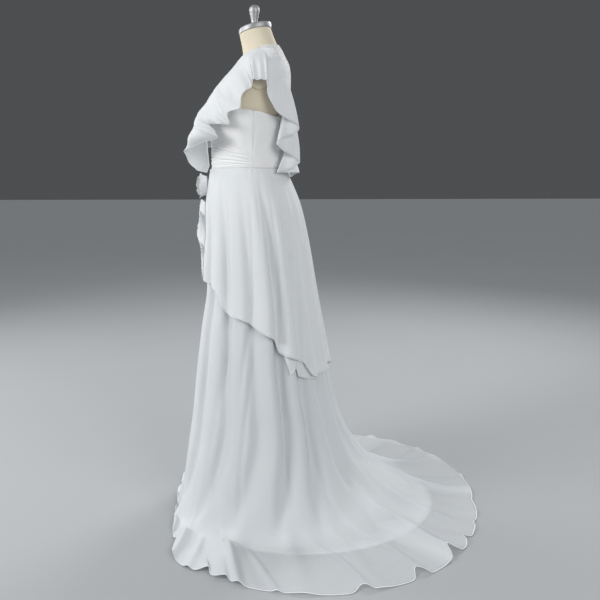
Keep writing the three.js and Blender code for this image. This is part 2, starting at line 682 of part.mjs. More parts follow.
const NORMAL_STEP = { angle: 0.5, at: 0.004 };
function outward(sectionAt, angleDeg, at) {
  const place = (angle, v) => ovalPoint(sectionAt(clamp(v, 0, 1)), angle);
  const round = place(angleDeg + NORMAL_STEP.angle, at).sub(place(angleDeg - NORMAL_STEP.angle, at));
  const fall = place(angleDeg, at + NORMAL_STEP.at).sub(place(angleDeg, at - NORMAL_STEP.at));
  return fall.cross(round).normalize();
}

const hemReach = column(HEM_REACH, "angle", "share");
function skirtPoint(angleDeg, at, out = 0) {
  const point = ovalPoint(skirtAt(at), angleDeg);
  const normal = outward(skirtAt, angleDeg, at);
  point.addScaledVector(normal, hangingFold(angleDeg, at) + floorRidge(angleDeg, at) + out);
  const reach = 1 + (hemReach(angleDeg) - 1) * ease(0.82, 1, at);
  const notch = notchDepth(angleDeg) * ease(0.92, 1, at);
  point.x = point.x * reach - notch * Math.cos(radians(angleDeg));
  point.y = HEM_CENTRE + (point.y - HEM_CENTRE) * reach - notch * Math.sin(radians(angleDeg));
  point.z += NOTCH_LIFT * notch;
  point.z = Math.max(point.z, SKIRT_WALL);
  return point;
}
function liningPoint(angleDeg, at) {
  const point = ovalPoint(liningAt(at), angleDeg);
  const normal = outward(liningAt, angleDeg, at);
  const fold = hangingFold(angleDeg, shareAtHeight(point.z, angleDeg)) * (1 - ease(0.84, 0.94, at));
  const below = ease(0, 0.12, at) * (1 - ease(0.86, 0.97, at));
  const inset = mix(LINING_INSET.waist, LINING_INSET.below, below);
  point.addScaledVector(normal, fold - inset);
  point.z = Math.max(point.z, LINING_WALL);
  return point;
}

// A cloth all round the body whose rows of points are the rows of its table.
const allRound = (point, sections) => (across, down) => {
  const place = down * (sections.length - 1);
  const row = Math.min(sections.length - 2, Math.floor(place));
  const at = mix(sections[row].at, sections[row + 1].at, place - row);
  return point(-90 + 360 * across, at);
};

const hemHeight = column(OVERSKIRT_HEM, "angle", "z");
// The share of the skirt's length at which it has a given height on that side.
function shareAtHeight(z, angleDeg) {
  let low = 0;
  let high = 1;
  for (let i = 0; i < 24; i += 1) {
    const middle = (low + high) / 2;
    if (ovalPoint(skirtAt(middle), angleDeg).z > z) low = middle;
    else high = middle;
  }
  return (low + high) / 2;
}
function overskirtPoint(across, down) {
  const edge = mix(OVERSKIRT_EDGE.waist, OVERSKIRT_EDGE.hem, down);
  const angle = mix(edge, 180 - edge, across);
  const mirrored = angle <= 90 ? angle : 180 - angle;
  const end = shareAtHeight(hemHeight(mirrored), angle);
  const at = end * down;
  const spread = mix(OVERSKIRT_OFFSET.waist, OVERSKIRT_OFFSET.below, ease(0, 0.12, at));
  const flare = OVERSKIRT_OFFSET.hemFlare * ease(0.5, 1, down);
  return skirtPoint(angle, at, spread + flare);
}

// A flounce: straight lines from its seam to its waved edge, bulged out and kept off the body.
function flouncePoint(seamPart, edge, out) {
  const edgePart = columns(
    edge.map((row, i) => ({ ...row, part: i / (edge.length - 1) })),
    "part",
    ["along", "x", "y", "z", "bulge"],
  );
  return (across, down) => {
    const hem = edgePart(across);
    const top = seamPart(hem.along);
    const share = down ** 1.1;
    const point = new THREE.Vector3(
      mix(top.x, hem.x, share),
      mix(top.y, hem.y, share),
      mix(top.z, hem.z, share),
    );
    const bulge = hem.bulge * 4 * share * (1 - share);
    const away = Math.hypot(point.x, point.y) || 1;
    point.x += (bulge * point.x) / away;
    point.y += (bulge * point.y) / away;
    point.z += bulge * 0.5 * ease(1300, 1400, point.z);
    const overShoulder = ease(20, 50, point.y) * (1 - 0.5 * ease(60, 100, point.y));
    return clearOfBody(point, out + 7 * overShoulder);
  };
}
const FLOUNCE_CLEARANCE = BODICE_CLEARANCE + BODICE_WALL + RUCHES.depth + FLOUNCE_WALL + 1.3;
const flounceSeam = columns(FLOUNCE_SEAM, "along", ["x", "y", "z"]);
const flounceShape = flouncePoint(flounceSeam, FLOUNCE_EDGE, FLOUNCE_CLEARANCE);
// The cascade is sewn on the overskirt's front edge.
function cascadeSeam(along) {
  const place = mix(CASCADE_SEAM.from, CASCADE_SEAM.to, along);
  const point = overskirtPoint(CASCADE_SEAM.inFromEdge, place);
  point.y -= CASCADE_SEAM.out;
  return point;
}
const cascadeShape = flouncePoint(cascadeSeam, CASCADE_EDGE, 14);

// A rose of wound cloth at the front waist: a lobed disc whose face rises in a spiral.
const ROSETTE_COLUMNS = 35;
const ROSETTE_RINGS = 7;
function rosette() {
  const front = (share, angle) => {
    const lobes = 1 + 0.1 * share * Math.cos(ROSETTE.petals * angle);
    const radius = ROSETTE.radius * share * lobes;
    const turns = (ROSETTE.turns * share - angle / (2 * Math.PI) + 10) % 1;
    const dome = ROSETTE.depth * (1 - 0.6 * share * share);
    const height = dome + 6 * share * (1 - share) * 4 * (turns - 0.5);
    return new THREE.Vector3(
      radius * Math.cos(angle),
      ROSETTE.y - height,
      ROSETTE.z + radius * Math.sin(angle),
    );
  };
  const rings = [];
  for (let j = 1; j <= ROSETTE_RINGS; j += 1)
    rings.push(
      Array.from({ length: ROSETTE_COLUMNS }, (_, i) =>
        front(j / ROSETTE_RINGS, (2 * Math.PI * i) / ROSETTE_COLUMNS),
      ),
    );
  const rim = rings[rings.length - 1];
  rings.push(rim.map((p) => new THREE.Vector3(p.x * 0.96, ROSETTE.y - 2, mix(ROSETTE.z, p.z, 0.96))));
  return loftSolid(rings.reverse());
}

const CLOTH = { color: 0xe4e8e9, roughness: 0.75, metalness: 0 };
const LACE = { color: 0xdcdedd, roughness: 0.85, metalness: 0 };
const SATIN = { color: 0xeef1f1, roughness: 0.5, metalness: 0 };
const LINEN = { color: 0xcdbf9f, roughness: 0.9, metalness: 0 };
const PLATED = { color: 0xc4c6c8, roughness: 0.15, metalness: 1 };

const dress = new THREE.Group();
function add(name, geometry, look) {
  const mesh = new THREE.Mesh(geometry, new THREE.MeshStandardMaterial(look));
  mesh.name = name;
  dress.add(mesh);
}

add("base", base(), PLATED);
add("pole", pole(), PLATED);
add("form_torso", torso(0), LINEN);
add("neck_cap", neckCap(), PLATED);
add("neck_knob", neckKnob(), PLATED);
for (const [name, side] of [["left", 1], ["right", -1]]) {
  const mirror = side < 0;
  add(`arm_plate_${name}`, armPlate(side), LINEN);
  add(`bodice_front_${name}`, clothSolid(frontPanel, GRID.front, BODICE_WALL, { mirror }), CLOTH);
  add(`bodice_side_${name}`, clothSolid(sidePanel, GRID.side, BODICE_WALL, { mirror }), CLOTH);
  add(`bodice_back_${name}`, clothSolid(backPanel, GRID.back, BODICE_WALL, { mirror }), CLOTH);
  add(`flounce_${name}`, clothSolid(flounceShape, GRID.flounce, FLOUNCE_WALL, { mirror }), CLOTH);
  add(`cascade_${name}`, clothSolid(cascadeShape, GRID.cascade, FLOUNCE_WALL, { mirror }), CLOTH);
}
add("lace_yoke", clothSolid((a, d) => laceYoke(1 - a, d), GRID.lace, LACE_WALL), LACE);
const closed = true;
const skirtRound = allRound(skirtPoint, SKIRT_SECTIONS);
add("skirt", clothSolid(skirtRound, GRID.skirt, SKIRT_WALL, { closed }), CLOTH);
const liningRound = allRound(liningPoint, LINING_SECTIONS);
add("lining", clothSolid(liningRound, GRID.lining, LINING_WALL, { closed }), SATIN);
add("overskirt", clothSolid(overskirtPoint, GRID.overskirt, OVERSKIRT_WALL), CLOTH);
add("waist_rosette", rosette(), CLOTH);

export default dress;
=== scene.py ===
import math

import bpy
import numpy as np
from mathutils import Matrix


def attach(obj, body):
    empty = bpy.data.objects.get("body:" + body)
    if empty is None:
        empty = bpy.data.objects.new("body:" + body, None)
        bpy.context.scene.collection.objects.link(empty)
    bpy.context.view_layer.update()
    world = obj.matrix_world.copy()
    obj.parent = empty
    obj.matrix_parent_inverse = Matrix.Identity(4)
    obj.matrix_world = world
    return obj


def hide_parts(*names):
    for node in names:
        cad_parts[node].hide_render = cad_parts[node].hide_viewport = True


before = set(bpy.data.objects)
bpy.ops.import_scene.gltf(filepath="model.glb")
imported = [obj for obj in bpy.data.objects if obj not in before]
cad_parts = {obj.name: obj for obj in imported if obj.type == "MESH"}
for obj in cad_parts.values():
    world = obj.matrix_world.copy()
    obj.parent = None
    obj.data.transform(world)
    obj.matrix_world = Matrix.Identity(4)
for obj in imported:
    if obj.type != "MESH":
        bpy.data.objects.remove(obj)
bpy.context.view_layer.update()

# Sizes are in millimetres until a mesh is made. +Z is up, the dress faces -Y, its train lies towards +Y
# and the wearer's left side is +X. Angles round the body are in degrees: -90 is the centre front,
# 0 the left side and 90 the centre back.
MM = 0.001
WAIST = 1136.0
SEAM = 0.3

# Camera, floor and light
CAMERA_PLACE = (2.0255, -0.0251, 1.088)
CAMERA_TURN = 85.0
CAMERA_DIP = 2.5
CAMERA_SHIFT = -0.15

LAMPS = [
    # name, place, size, watts
    ("key_lamp", (1.4, -3.3, 2.5), 1.8, 92),
    ("fill_lamp", (3.1, 1.9, 2.2), 2.4, 52),
    ("back_lamp", (-2.2, 1.9, 2.8), 1.6, 55),
    ("front_lamp", (-1.8, -2.6, 2.2), 1.6, 34),
]
LAMP_TARGET = (0.0, 0.1, 0.75)
SKY = {"colour": (0.62, 0.64, 0.66), "light": 0.60, "seen": 0.12}
FLOOR_COLOUR = (0.42, 0.43, 0.44)
FLOOR_SIZE = 80.0


def make_camera():
    lens = bpy.data.cameras.new("camera")
    lens.sensor_width = 36
    lens.lens = 36
    lens.shift_y = CAMERA_SHIFT
    camera = bpy.data.objects.new("camera", lens)
    camera.location = CAMERA_PLACE
    camera.rotation_euler = (math.radians(90 - CAMERA_DIP), 0, math.radians(CAMERA_TURN))
    bpy.context.collection.objects.link(camera)
    bpy.context.scene.camera = camera


def make_lamps():
    for name, place, size, watts in LAMPS:
        light = bpy.data.lights.new(name, "AREA")
        light.shape = "DISK"
        light.size = size
        light.energy = watts
        lamp = bpy.data.objects.new(name, light)
        lamp.location = place
        aim = [target - start for target, start in zip(LAMP_TARGET, place)]
        away = math.hypot(aim[0], aim[1])
        lamp.rotation_euler = (math.atan2(away, -aim[2]), 0, math.atan2(-aim[0], aim[1]))
        bpy.context.collection.objects.link(lamp)
    world = bpy.data.worlds.new("soft_sky")
    world.use_nodes = True
    sky = world.node_tree.nodes["Background"]
    sky.inputs["Color"].default_value = (*SKY["colour"], 1)
    path = world.node_tree.nodes.new("ShaderNodeLightPath")
    strength = world.node_tree.nodes.new("ShaderNodeMix")
    strength.inputs["A"].default_value = SKY["light"]
    strength.inputs["B"].default_value = SKY["seen"]
    world.node_tree.links.new(path.outputs["Is Camera Ray"], strength.inputs["Factor"])
    world.node_tree.links.new(strength.outputs["Result"], sky.inputs["Strength"])
    bpy.context.scene.world = world
    bpy.context.scene.view_settings.view_transform = "Standard"


make_camera()
make_lamps()


# Tables
def table(columns, rows):
    return [dict(zip(columns, row)) for row in rows]


# The dress form's level sections
FORM_SECTIONS = table(
    ("z", "half_width", "front", "back"),
    [
        (872, 138, -104, 98),
        (905, 160, -120, 116),
        (980, 163, -128, 118),
        (1060, 155, -134, 104),
        (1136, 147, -138, 95),
        (1200, 151, -138, 96),
        (1270, 166, -143, 103),
        (1330, 179, -145, 109),
        (1390, 183, -121, 114),
        (1440, 177, -82, 115),
        (1470, 160, -60, 112),
        (1488, 132, -50, 106),
        (1503, 101, -43, 99),
        (1518, 77, -38, 92),
        (1540, 63, -40, 77),
        (1565, 57, -44, 64),
        (1592, 55, -49, 54),
    ],
)
NECK_TOP = 1592.0
NECK_TILT = math.tan(math.radians(13))
FORM_BOTTOM = 872.0
BUST = {"apart": 84, "height": 1322, "radius": 62, "depth": 17}

# The skirt's and the lining's sections, each an oval with its own height at front, side and back
SECTION_COLUMNS = ("at", "y_front", "x_side", "y_back", "z_front", "z_side", "z_back")
SKIRT_SECTIONS = table(
    SECTION_COLUMNS,
    [
        (0.0, -146, 155, 103, 1136, 1136, 1136),
        (0.05, -152, 171, 123, 1085, 1085, 1085),
        (0.12, -157, 193, 150, 1000, 1000, 1000),
        (0.22, -160, 211, 176, 880, 880, 880),
        (0.33, -164, 221, 198, 740, 740, 745),
        (0.44, -184, 229, 219, 600, 600, 610),
        (0.55, -201, 237, 245, 450, 450, 470),
        (0.65, -216, 245, 277, 310, 310, 345),
        (0.73, -233, 255, 318, 195, 195, 248),
        (0.79, -245, 268, 372, 105, 100, 170),
        (0.84, -254, 287, 446, 45, 38, 102),
        (0.88, -258, 318, 532, 14, 9, 48),
        (0.92, -262, 375, 620, 4.5, 4.2, 14),
        (0.96, -266, 445, 692, 2.4, 2.2, 3),
        (1.0, -271, 512, 755, 1.7, 1.7, 1.7),
    ],
)
LINING_SECTIONS = table(
    SECTION_COLUMNS,
    [
        (0.0, -146, 155, 103, 1136, 1136, 1136),
        (0.06, -152, 171, 123, 1085, 1085, 1085),
        (0.15, -157, 193, 150, 1000, 1000, 1000),
        (0.27, -160, 211, 176, 880, 880, 880),
        (0.4, -164, 221, 198, 740, 740, 745),
        (0.53, -184, 229, 219, 600, 600, 610),
        (0.66, -201, 237, 244, 450, 450, 468),
        (0.78, -215, 244, 272, 310, 310, 340),
        (0.86, -221, 239, 288, 195, 195, 238),
        (0.92, -228, 244, 328, 105, 96, 150),
        (0.96, -233, 256, 388, 50, 32, 70),
        (0.98, -236, 280, 480, 28, 7, 20),
        (1.0, -240, 322, 608, 12, 1.5, 1.5),
    ],
)
LINING_INSET = {"waist": 2.2, "below": 11.5}
OVERSKIRT_OFFSET = {"waist": 2.2, "below": 9, "hem_flare": 7}

# The large folds: angle at the waist, the knee and the hem, depth while the cloth hangs, and the height
# of the ridge that each becomes on the floor
FOLDS = table(
    ("waist", "knee", "hem", "depth", "ridge", "width"),
    [
        (-90, -90, -92, 10, 9, 6),
        (-62, -62, -80, 15, 12, 6),
        (-40, -34, -65, 21, 17, 6),
        (-14, -6, -43, 15, 22, 8),
        (10, 15, -16, 27, 14, 6),
        (31, 34, 8, 21, 12, 5.5),
        (50, 54, 41, 22, 30, 6),
        (70, 72, 60, 17, 16, 5),
        (90, 91, 88, 15, 18, 5),
        (110, 112, 117, 20, 20, 6),
        (130, 130, 139, 16, 14, 5),
        (150, 148, 170, 24, 20, 6),
        (172, 174, 197, 18, 13, 7),
        (196, 199, 226, 22, 20, 6),
        (220, 218, 243, 17, 14, 6),
        (242, 240, 257, 14, 10, 5),
    ],
)
KNEE_AT = 0.62
LANDING_AT = 0.86
FOLD_SKEW = {"front": 1.45, "back": 0.8}
# How far the hem reaches over the floor, as a share of its oval, and the notches where folds end in it
HEM_CENTRE = 239
HEM_REACH = table(
    ("angle", "share"),
    [
        (-90, 0.985),
        (-78, 1.01),
        (-68, 1.05),
        (-57, 1.115),
        (-47, 1.085),
        (-36, 1.04),
        (-24, 1.005),
        (-8, 0.98),
        (10, 0.965),
        (30, 0.97),
        (50, 0.975),
        (68, 0.98),
        (88, 1),
        (100, 1.03),
        (130, 1.047),
        (150, 1.04),
        (170, 1),
        (190, 0.975),
        (212, 0.98),
        (232, 1.02),
        (246, 1.06),
        (258, 1.03),
        (270, 0.985),
    ],
)
HEM_NOTCHES = table(
    ("angle", "depth", "width"),
    [
        (-65, 16, 2.2),
        (-46, 24, 2),
        (-39, 13, 1.8),
        (4, 18, 2),
        (25, 30, 1.8),
        (43, 36, 1.9),
        (54, 24, 1.9),
        (66, 8, 2),
        (82, 8, 3),
        (119, 9, 2.5),
        (138, 7, 2.5),
        (171, 24, 2),
        (186, 12, 2.2),
        (198, 30, 1.8),
        (214, 16, 2),
        (228, 27, 1.9),
        (243, 18, 2.1),
        (256, 10, 2.2),
    ],
)
NOTCH_LIFT = 0.35
# Narrow folds where the hem piles up a little on the floor
FLOOR_FOLDS = table(
    ("angle", "start", "height", "width"),
    [
        (-86, 0.88, 9, 1.7),
        (-73, 0.78, 12, 1.9),
        (-59, 0.76, 13, 1.8),
        (-51, 0.84, 9, 1.5),
        (-34, 0.8, 12, 1.8),
        (-22, 0.86, 7, 1.4),
        (6, 0.82, 10, 1.6),
        (27, 0.8, 12, 1.7),
        (52, 0.82, 11, 1.6),
        (73, 0.86, 7, 1.8),
        (101, 0.84, 8, 1.6),
        (128, 0.86, 9, 1.8),
        (151, 0.82, 10, 1.7),
        (180, 0.8, 9, 1.6),
        (207, 0.82, 11, 1.8),
        (233, 0.86, 12, 1.7),
        (249, 0.88, 10, 1.8),
        (264, 0.9, 8, 1.6),
    ],
)
FLOOR_FOLD_SWEEP = 30

# Finer creases between the folds, each a soft trough of its own length and depth
CREASES = table(
    ("waist", "hem", "start", "end", "depth", "width"),
    [
        (-76, -88, 0.02, 0.52, 2.6, 2.6),
        (-69, -84, 0.30, 0.83, 3.4, 2.2),
        (-51, -74, 0.10, 0.70, 3.8, 2.8),
        (-46, -68, 0.42, 0.86, 3.0, 1.9),
        (-29, -58, 0.04, 0.36, 3.2, 2.4),
        (-24, -54, 0.34, 0.84, 4.2, 2.6),
        (-4, -36, 0.06, 0.62, 4.0, 2.3),
        (2, -28, 0.40, 0.88, 3.6, 2.0),
        (5, -18, 0.01, 0.24, 2.4, 2.2),
        (20, 2, 0.05, 0.46, 4.4, 2.4),
        (25, 6, 0.30, 0.85, 3.2, 1.9),
        (42, 22, 0.02, 0.66, 3.8, 2.2),
        (47, 28, 0.36, 0.90, 4.6, 2.1),
        (62, 46, 0.08, 0.88, 4.4, 2.0),
        (66, 52, 0.02, 0.30, 2.2, 1.8),
        (80, 72, 0.14, 0.84, 3.4, 2.3),
        (84, 78, 0.44, 0.92, 3.0, 1.7),
        (98, 100, 0.05, 0.60, 3.2, 2.4),
        (103, 108, 0.34, 0.90, 4.2, 2.1),
        (119, 128, 0.03, 0.42, 3.0, 2.3),
        (123, 132, 0.28, 0.86, 4.0, 2.2),
        (138, 154, 0.10, 0.74, 3.6, 2.5),
        (143, 160, 0.40, 0.88, 3.2, 1.9),
        (160, 180, 0.05, 0.56, 4.2, 2.4),
        (164, 186, 0.36, 0.86, 3.4, 2.0),
        (183, 206, 0.02, 0.64, 3.8, 2.6),
        (188, 212, 0.38, 0.84, 3.0, 2.1),
        (207, 230, 0.08, 0.72, 4.0, 2.4),
        (212, 236, 0.30, 0.86, 3.2, 2.0),
        (230, 248, 0.04, 0.50, 3.4, 2.3),
        (235, 252, 0.36, 0.85, 2.8, 2.0),
        (251, 261, 0.05, 0.60, 2.6, 2.2),
    ],
)

# The overskirt's hem, higher in front, the same on both sides
OVERSKIRT_HEM = table(
    ("angle", "z"),
    [
        (-90, 815),
        (-73, 779),
        (-56, 766),
        (-46, 756),
        (-37, 692),
        (-27, 685),
        (-18, 678),
        (-2, 642),
        (11, 613),
        (15, 574),
        (24, 556),
        (37, 532),
        (43, 486),
        (54, 477),
        (66, 485),
        (76, 492),
        (90, 470),
    ],
)
OVERSKIRT_EDGE = {"waist": -87, "hem": -73}

# A fold of the overskirt turned under its own hem on each side: the angle and height of its lower edge
UNDER_FOLD = table(
    ("angle", "z"),
    [
        (14, 618),
        (19, 566),
        (22.5, 505),
        (25, 509),
        (28, 522),
        (30, 497),
        (34, 488),
        (41, 478),
        (48, 474),
        (54, 476),
    ],
)
UNDER_FOLD_RISE = 110
UNDER_FOLD_OUT = 8
UNDER_FOLD_PLEATS = {"from": 13, "rate": 21, "depth": 3.5}

# How far the sheer skirt lies double in its gathers, from 0 to 1
LAYERED = table(
    ("angle", "density"),
    [
        (-90, 0.9),
        (-50, 0.85),
        (-38, 0.6),
        (-28, 0),
        (34, 0),
        (40, 0.45),
        (46, 0),
        (84, 0),
        (88, 0.35),
        (94, 0),
        (140, 0),
        (150, 0.3),
        (160, 0),
        (200, 0),
        (212, 0.6),
        (225, 0.85),
        (270, 0.9),
    ],
)
TRAIN_DENSITY = 0.7

# The flounce's seam, and its free edge with one row a corner or tip of its waves
FLOUNCE_SEAM = table(
    ("along", "x", "y", "z"),
    [
        (0.0, 12, -152, 1148),
        (0.12, 26, -160, 1232),
        (0.25, 42, -164, 1316),
        (0.37, 62, -128, 1392),
        (0.46, 78, -72, 1456),
        (0.53, 84, -26, 1498),
        (0.58, 80, 0, 1517),
        (0.63, 88, 26, 1514),
        (0.67, 106, 46, 1499),
        (0.72, 136, 62, 1472),
        (0.77, 130, 84, 1441),
        (0.83, 94, 99, 1400),
        (0.89, 62, 112, 1326),
        (0.95, 34, 108, 1226),
        (1.0, 14, 104, 1150),
    ],
)
EDGE_COLUMNS = ("along", "x", "y", "z", "bulge")
FLOUNCE_EDGE = table(
    EDGE_COLUMNS,
    [
        (0.0, 22, -160, 1126, 0),
        (0.05, 36, -190, 1134, 6),
        (0.1, 46, -229, 1191, 8),
        (0.16, 112, -190, 1210, 40),
        (0.22, 172, -116, 1232, 57),
        (0.27, 146, -146, 1274, 31),
        (0.33, 190, -78, 1268, 30),
        (0.38, 184, -86, 1301, 22),
        (0.41, 202, -46, 1320, 18),
        (0.44, 214, -42, 1352, 20),
        (0.49, 204, -10, 1384, 26),
        (0.54, 222, -8, 1399, 34),
        (0.61, 222, 32, 1399, 34),
        (0.65, 202, 36, 1366, 26),
        (0.7, 190, 62, 1312, 14),
        (0.76, 140, 139, 1262, 12),
        (0.82, 160, 66, 1214, 10),
        (0.88, 108, 141, 1157, 12),
        (0.93, 146, 66, 1124, 8),
        (0.97, 66, 143, 1126, 8),
        (1.0, 26, 118, 1112, 0),
    ],
)
CASCADE_SEAM = {"from": 0.34, "to": 0.99, "in_from_edge": 0.004, "out": 1.7}
CASCADE_EDGE = table(
    EDGE_COLUMNS,
    [
        (0.0, 10, -178, 1037, 0),
        (0.16, 2.5, -184, 1004, 3),
        (0.3, 48, -181, 985, 4),
        (0.5, 4, -193, 922, 5),
        (0.68, 66, -176, 880, 3),
        (0.84, 40, -176, 826, 2),
        (1.0, 74, -172, 790, 1),
    ],
)
FLOUNCE_CLEARANCE = 10.5
CASCADE_CLEARANCE = 14.0
RIPPLE = {"count": 34, "size": 2.2}

# The bodice
BODICE_OUT = 5.6
LACE_OUT = 5.4
SIDE_SEAM = 6.0
BACK_SEAM = 44.0
ARMHOLE_BOTTOM = 1312.0
BACK_TOP = {"seam": 1300, "centre": 1262}
LACE_TOP = {"centre": 1537, "front": 1527}
RUCHES = {"count": 8, "spacing": 13, "side_spacing": 5.4, "depth": 2.0}
RUCHED_SHARE = 0.55
FRONT_EDGES = table(
    ("z", "inner", "outer"),
    [
        (1136, -89.86, SIDE_SEAM),
        (1230, -89.86, SIDE_SEAM),
        (1290, -89.86, SIDE_SEAM),
        (1312, -86, SIDE_SEAM - 1),
        (1317, -85, -8),
        (1325, -83, -17),
        (1350, -79, -31),
        (1400, -70, -36),
        (1450, -60, -34),
        (1480, -50, -26),
        (1506, -34, -10),
    ],
)
# Heights of the front panel's rows above its ruched folds, at the neckline and at the armhole
CUP_ROWS = table(
    ("inner", "outer"),
    [
        (1506, 1478),
        (1486, 1460),
        (1461, 1434),
        (1430, 1402),
        (1400, 1370),
        (1374, 1345),
        (1350, 1325),
        (1330, 1317),
        (1310, ARMHOLE_BOTTOM),
        (1285, 1266),
        (1262, 1220),
    ],
)
LACE_EDGES = table(
    ("z", "start"),
    [
        (1262, 44.2),
        (1300, 44.2),
        (1350, 38),
        (1400, 30),
        (1440, 24),
        (1480, 6),
        (1506, -4),
        (1530, -8),
        (1540, 0),
    ],
)
ROSETTE = {"z": 1081, "back": -161.8, "turns": 4.6, "inner": 4, "outer": 35, "spread": 8, "depth": 32}

# The neck cap and the knob of the form
CAP_STEPS = 72
KNOB_PLACE = (2, 0, NECK_TOP + 16)
CAP_RINGS = table(
    ("rise", "margin"), [(0.3, 1), (1.2, 1.7), (2.4, 2), (15.5, 2), (17.6, 1), (18.8, -1), (19, -3)]
)
KNOB_OUTLINE = table(
    ("radius", "rise"),
    [
        (13, 0),
        (12.8, 4),
        (10, 13),
        (10.4, 22),
        (14, 38),
        (14.6, 42),
        (16, 47),
        (17.2, 54),
        (16.4, 62),
        (12, 69.4),
        (5, 72.4),
        (2, 73),
    ],
)

# Steps of each piece's grid, across and down
SKIRT_GRID = (420, 104)
LINING_GRID = (180, 60)
OVERSKIRT_GRID = (380, 90)
UNDER_FOLD_GRID = (90, 24)
FRONT_GRID = (110, 220)
SIDE_GRID = (36, 48)
BACK_GRID = (48, 44)
FLOUNCE_GRID = (420, 34)
CASCADE_GRID = (130, 16)
YOKE_GRID = (150, 110)
ROSETTE_GRID = (440, 14)
TORSO_GRID = (120, 110)

# Thickness of the cloths and the size of their rolled hems
CHIFFON_WALL = 0.5
LINING_WALL = 0.6
BODICE_WALL = 0.8
HEM = {"width": 1.1, "thick": 0.7}
SKIRT_HEM_EXTRA = 0.4
HEM_SIDES = 6

# The lace's motif and its net, in metres
LACE_REPEAT = 0.042
NET_PITCH = 0.0026


# Curves
def mix(a, b, share):
    return a + (b - a) * share


def ease(low, high, value):
    share = np.clip((value - low) / (high - low), 0, 1)
    return share * share * (3 - 2 * share)


def curve(rows, by, of):
    """A smooth curve through one column of a table that never overshoots its rows."""
    x = np.array([row[by] for row in rows], float)
    y = np.array([row[of] for row in rows], float)
    step = np.diff(y) / np.diff(x)
    slope = np.concatenate([step[:1], np.zeros(len(x) - 2), step[-1:]])
    product = step[:-1] * step[1:]
    total = np.where(product > 0, step[:-1] + step[1:], 1)
    slope[1:-1] = np.where(product > 0, 2 * product / total, 0)

    def value(v):
        v = np.clip(v, x[0], x[-1])
        i = np.clip(np.searchsorted(x, v, side="right") - 1, 0, len(x) - 2)
        width = x[i + 1] - x[i]
        t = (v - x[i]) / width
        near = (2 * t**3 - 3 * t**2 + 1) * y[i] + (t**3 - 2 * t**2 + t) * width * slope[i]
        far = (3 * t**2 - 2 * t**3) * y[i + 1] + (t**3 - t**2) * width * slope[i + 1]
        return near + far

    return value


def curves(rows, by, names):
    made = {name: curve(rows, by, name) for name in names}
    return lambda v: {name: made[name](v) for name in names}


def lines(rows, by, of):
    """Straight lines from row to row of a table."""
    return lambda at: np.interp(at, [row[by] for row in rows], [row[of] for row in rows])


def length(v):
    return np.sqrt((v**2).sum(-1, keepdims=True))


def unit(v):
    return v / np.maximum(length(v), 1e-9)


# The body under the bodice
form_at = curves(FORM_SECTIONS, "z", ("half_width", "front", "back"))


def bust_at(x, z):
    rise = ((z - BUST["height"]) / BUST["radius"]) ** 2
    left = ((x - BUST["apart"]) / BUST["radius"]) ** 2
    right = ((x + BUST["apart"]) / BUST["radius"]) ** 2
    return BUST["depth"] * (np.exp(-rise - left) + np.exp(-rise - right))


def form_point(z, angle):
    section = form_at(z)
    turn = np.radians(angle)
    x = section["half_width"] * np.cos(turn)
    middle = (section["front"] + section["back"]) / 2
    y = middle + (section["back"] - section["front"]) / 2 * np.sin(turn)
    y = y + bust_at(x, z) * np.minimum(np.sin(turn), 0)
    lean = ease(1500, NECK_TOP, z) * NECK_TILT
    return np.stack([x, y, z + y * lean], -1)


def body_point(z, angle, out):
    """A point of the form moved straight out from its surface."""
    around = form_point(z, angle + 1) - form_point(z, angle - 1)
    rise = form_point(z + 2, angle) - form_point(z - 2, angle)
    normal = unit(np.cross(around, rise))
    return form_point(z, angle) + normal * np.reshape(out, (-1, 1))


def level_reach(points):
    section = form_at(points[:, 2])
    middle = (section["front"] + section["back"]) / 2
    deep = (section["back"] - section["front"]) / 2
    angle = np.degrees(np.arctan2((points[:, 1] - middle) / deep, points[:, 0] / section["half_width"]))
    wall = form_point(points[:, 2], angle)
    reach = np.hypot(points[:, 0], points[:, 1] - middle)
    return reach - np.hypot(wall[:, 0], wall[:, 1] - middle)


def clear_of_body(points, out):
    """Moves points out along the slope of their distance until they are clear of the body."""
    points = points.copy()
    for _ in range(8):
        reach = level_reach(points)
        slope = np.stack([level_reach(points + step) - reach for step in np.eye(3)], -1)
        steep = length(slope)[:, 0]
        short = np.maximum(out - reach / steep, 0)
        points += slope / steep[:, None] * short[:, None]
    return points


# The skirt, its lining and the overskirt
SECTION_NAMES = SECTION_COLUMNS[1:]
skirt_at = curves(SKIRT_SECTIONS, "at", SECTION_NAMES)
lining_at = curves(LINING_SECTIONS, "at", SECTION_NAMES)


def oval_point(section, angle):
    cos = np.cos(np.radians(angle))
    sin = np.sin(np.radians(angle))
    middle = (section["y_front"] + section["y_back"]) / 2
    half = (section["y_back"] - section["y_front"]) / 2
    end = np.where(sin < 0, section["z_front"], section["z_back"])
    z = section["z_side"] * cos**2 + end * sin**2
    return np.stack([section["x_side"] * cos, middle + half * sin, z], -1)


def outward(section_at, angle, at):
    around = oval_point(section_at(at), angle + 0.5) - oval_point(section_at(at), angle - 0.5)
    above = oval_point(section_at(np.clip(at - 0.004, 0, 1)), angle)
    below = oval_point(section_at(np.clip(at + 0.004, 0, 1)), angle)
    return unit(np.cross(below - above, around))


def wrap(angle):
    return angle - 360 * np.round(angle / 360)


def fold_angle(fold, at):
    upper = mix(fold["waist"], fold["knee"], at / KNEE_AT)
    lower = mix(fold["knee"], fold["hem"], ease(KNEE_AT, 1.02, at))
    return np.where(at < KNEE_AT, upper, lower)


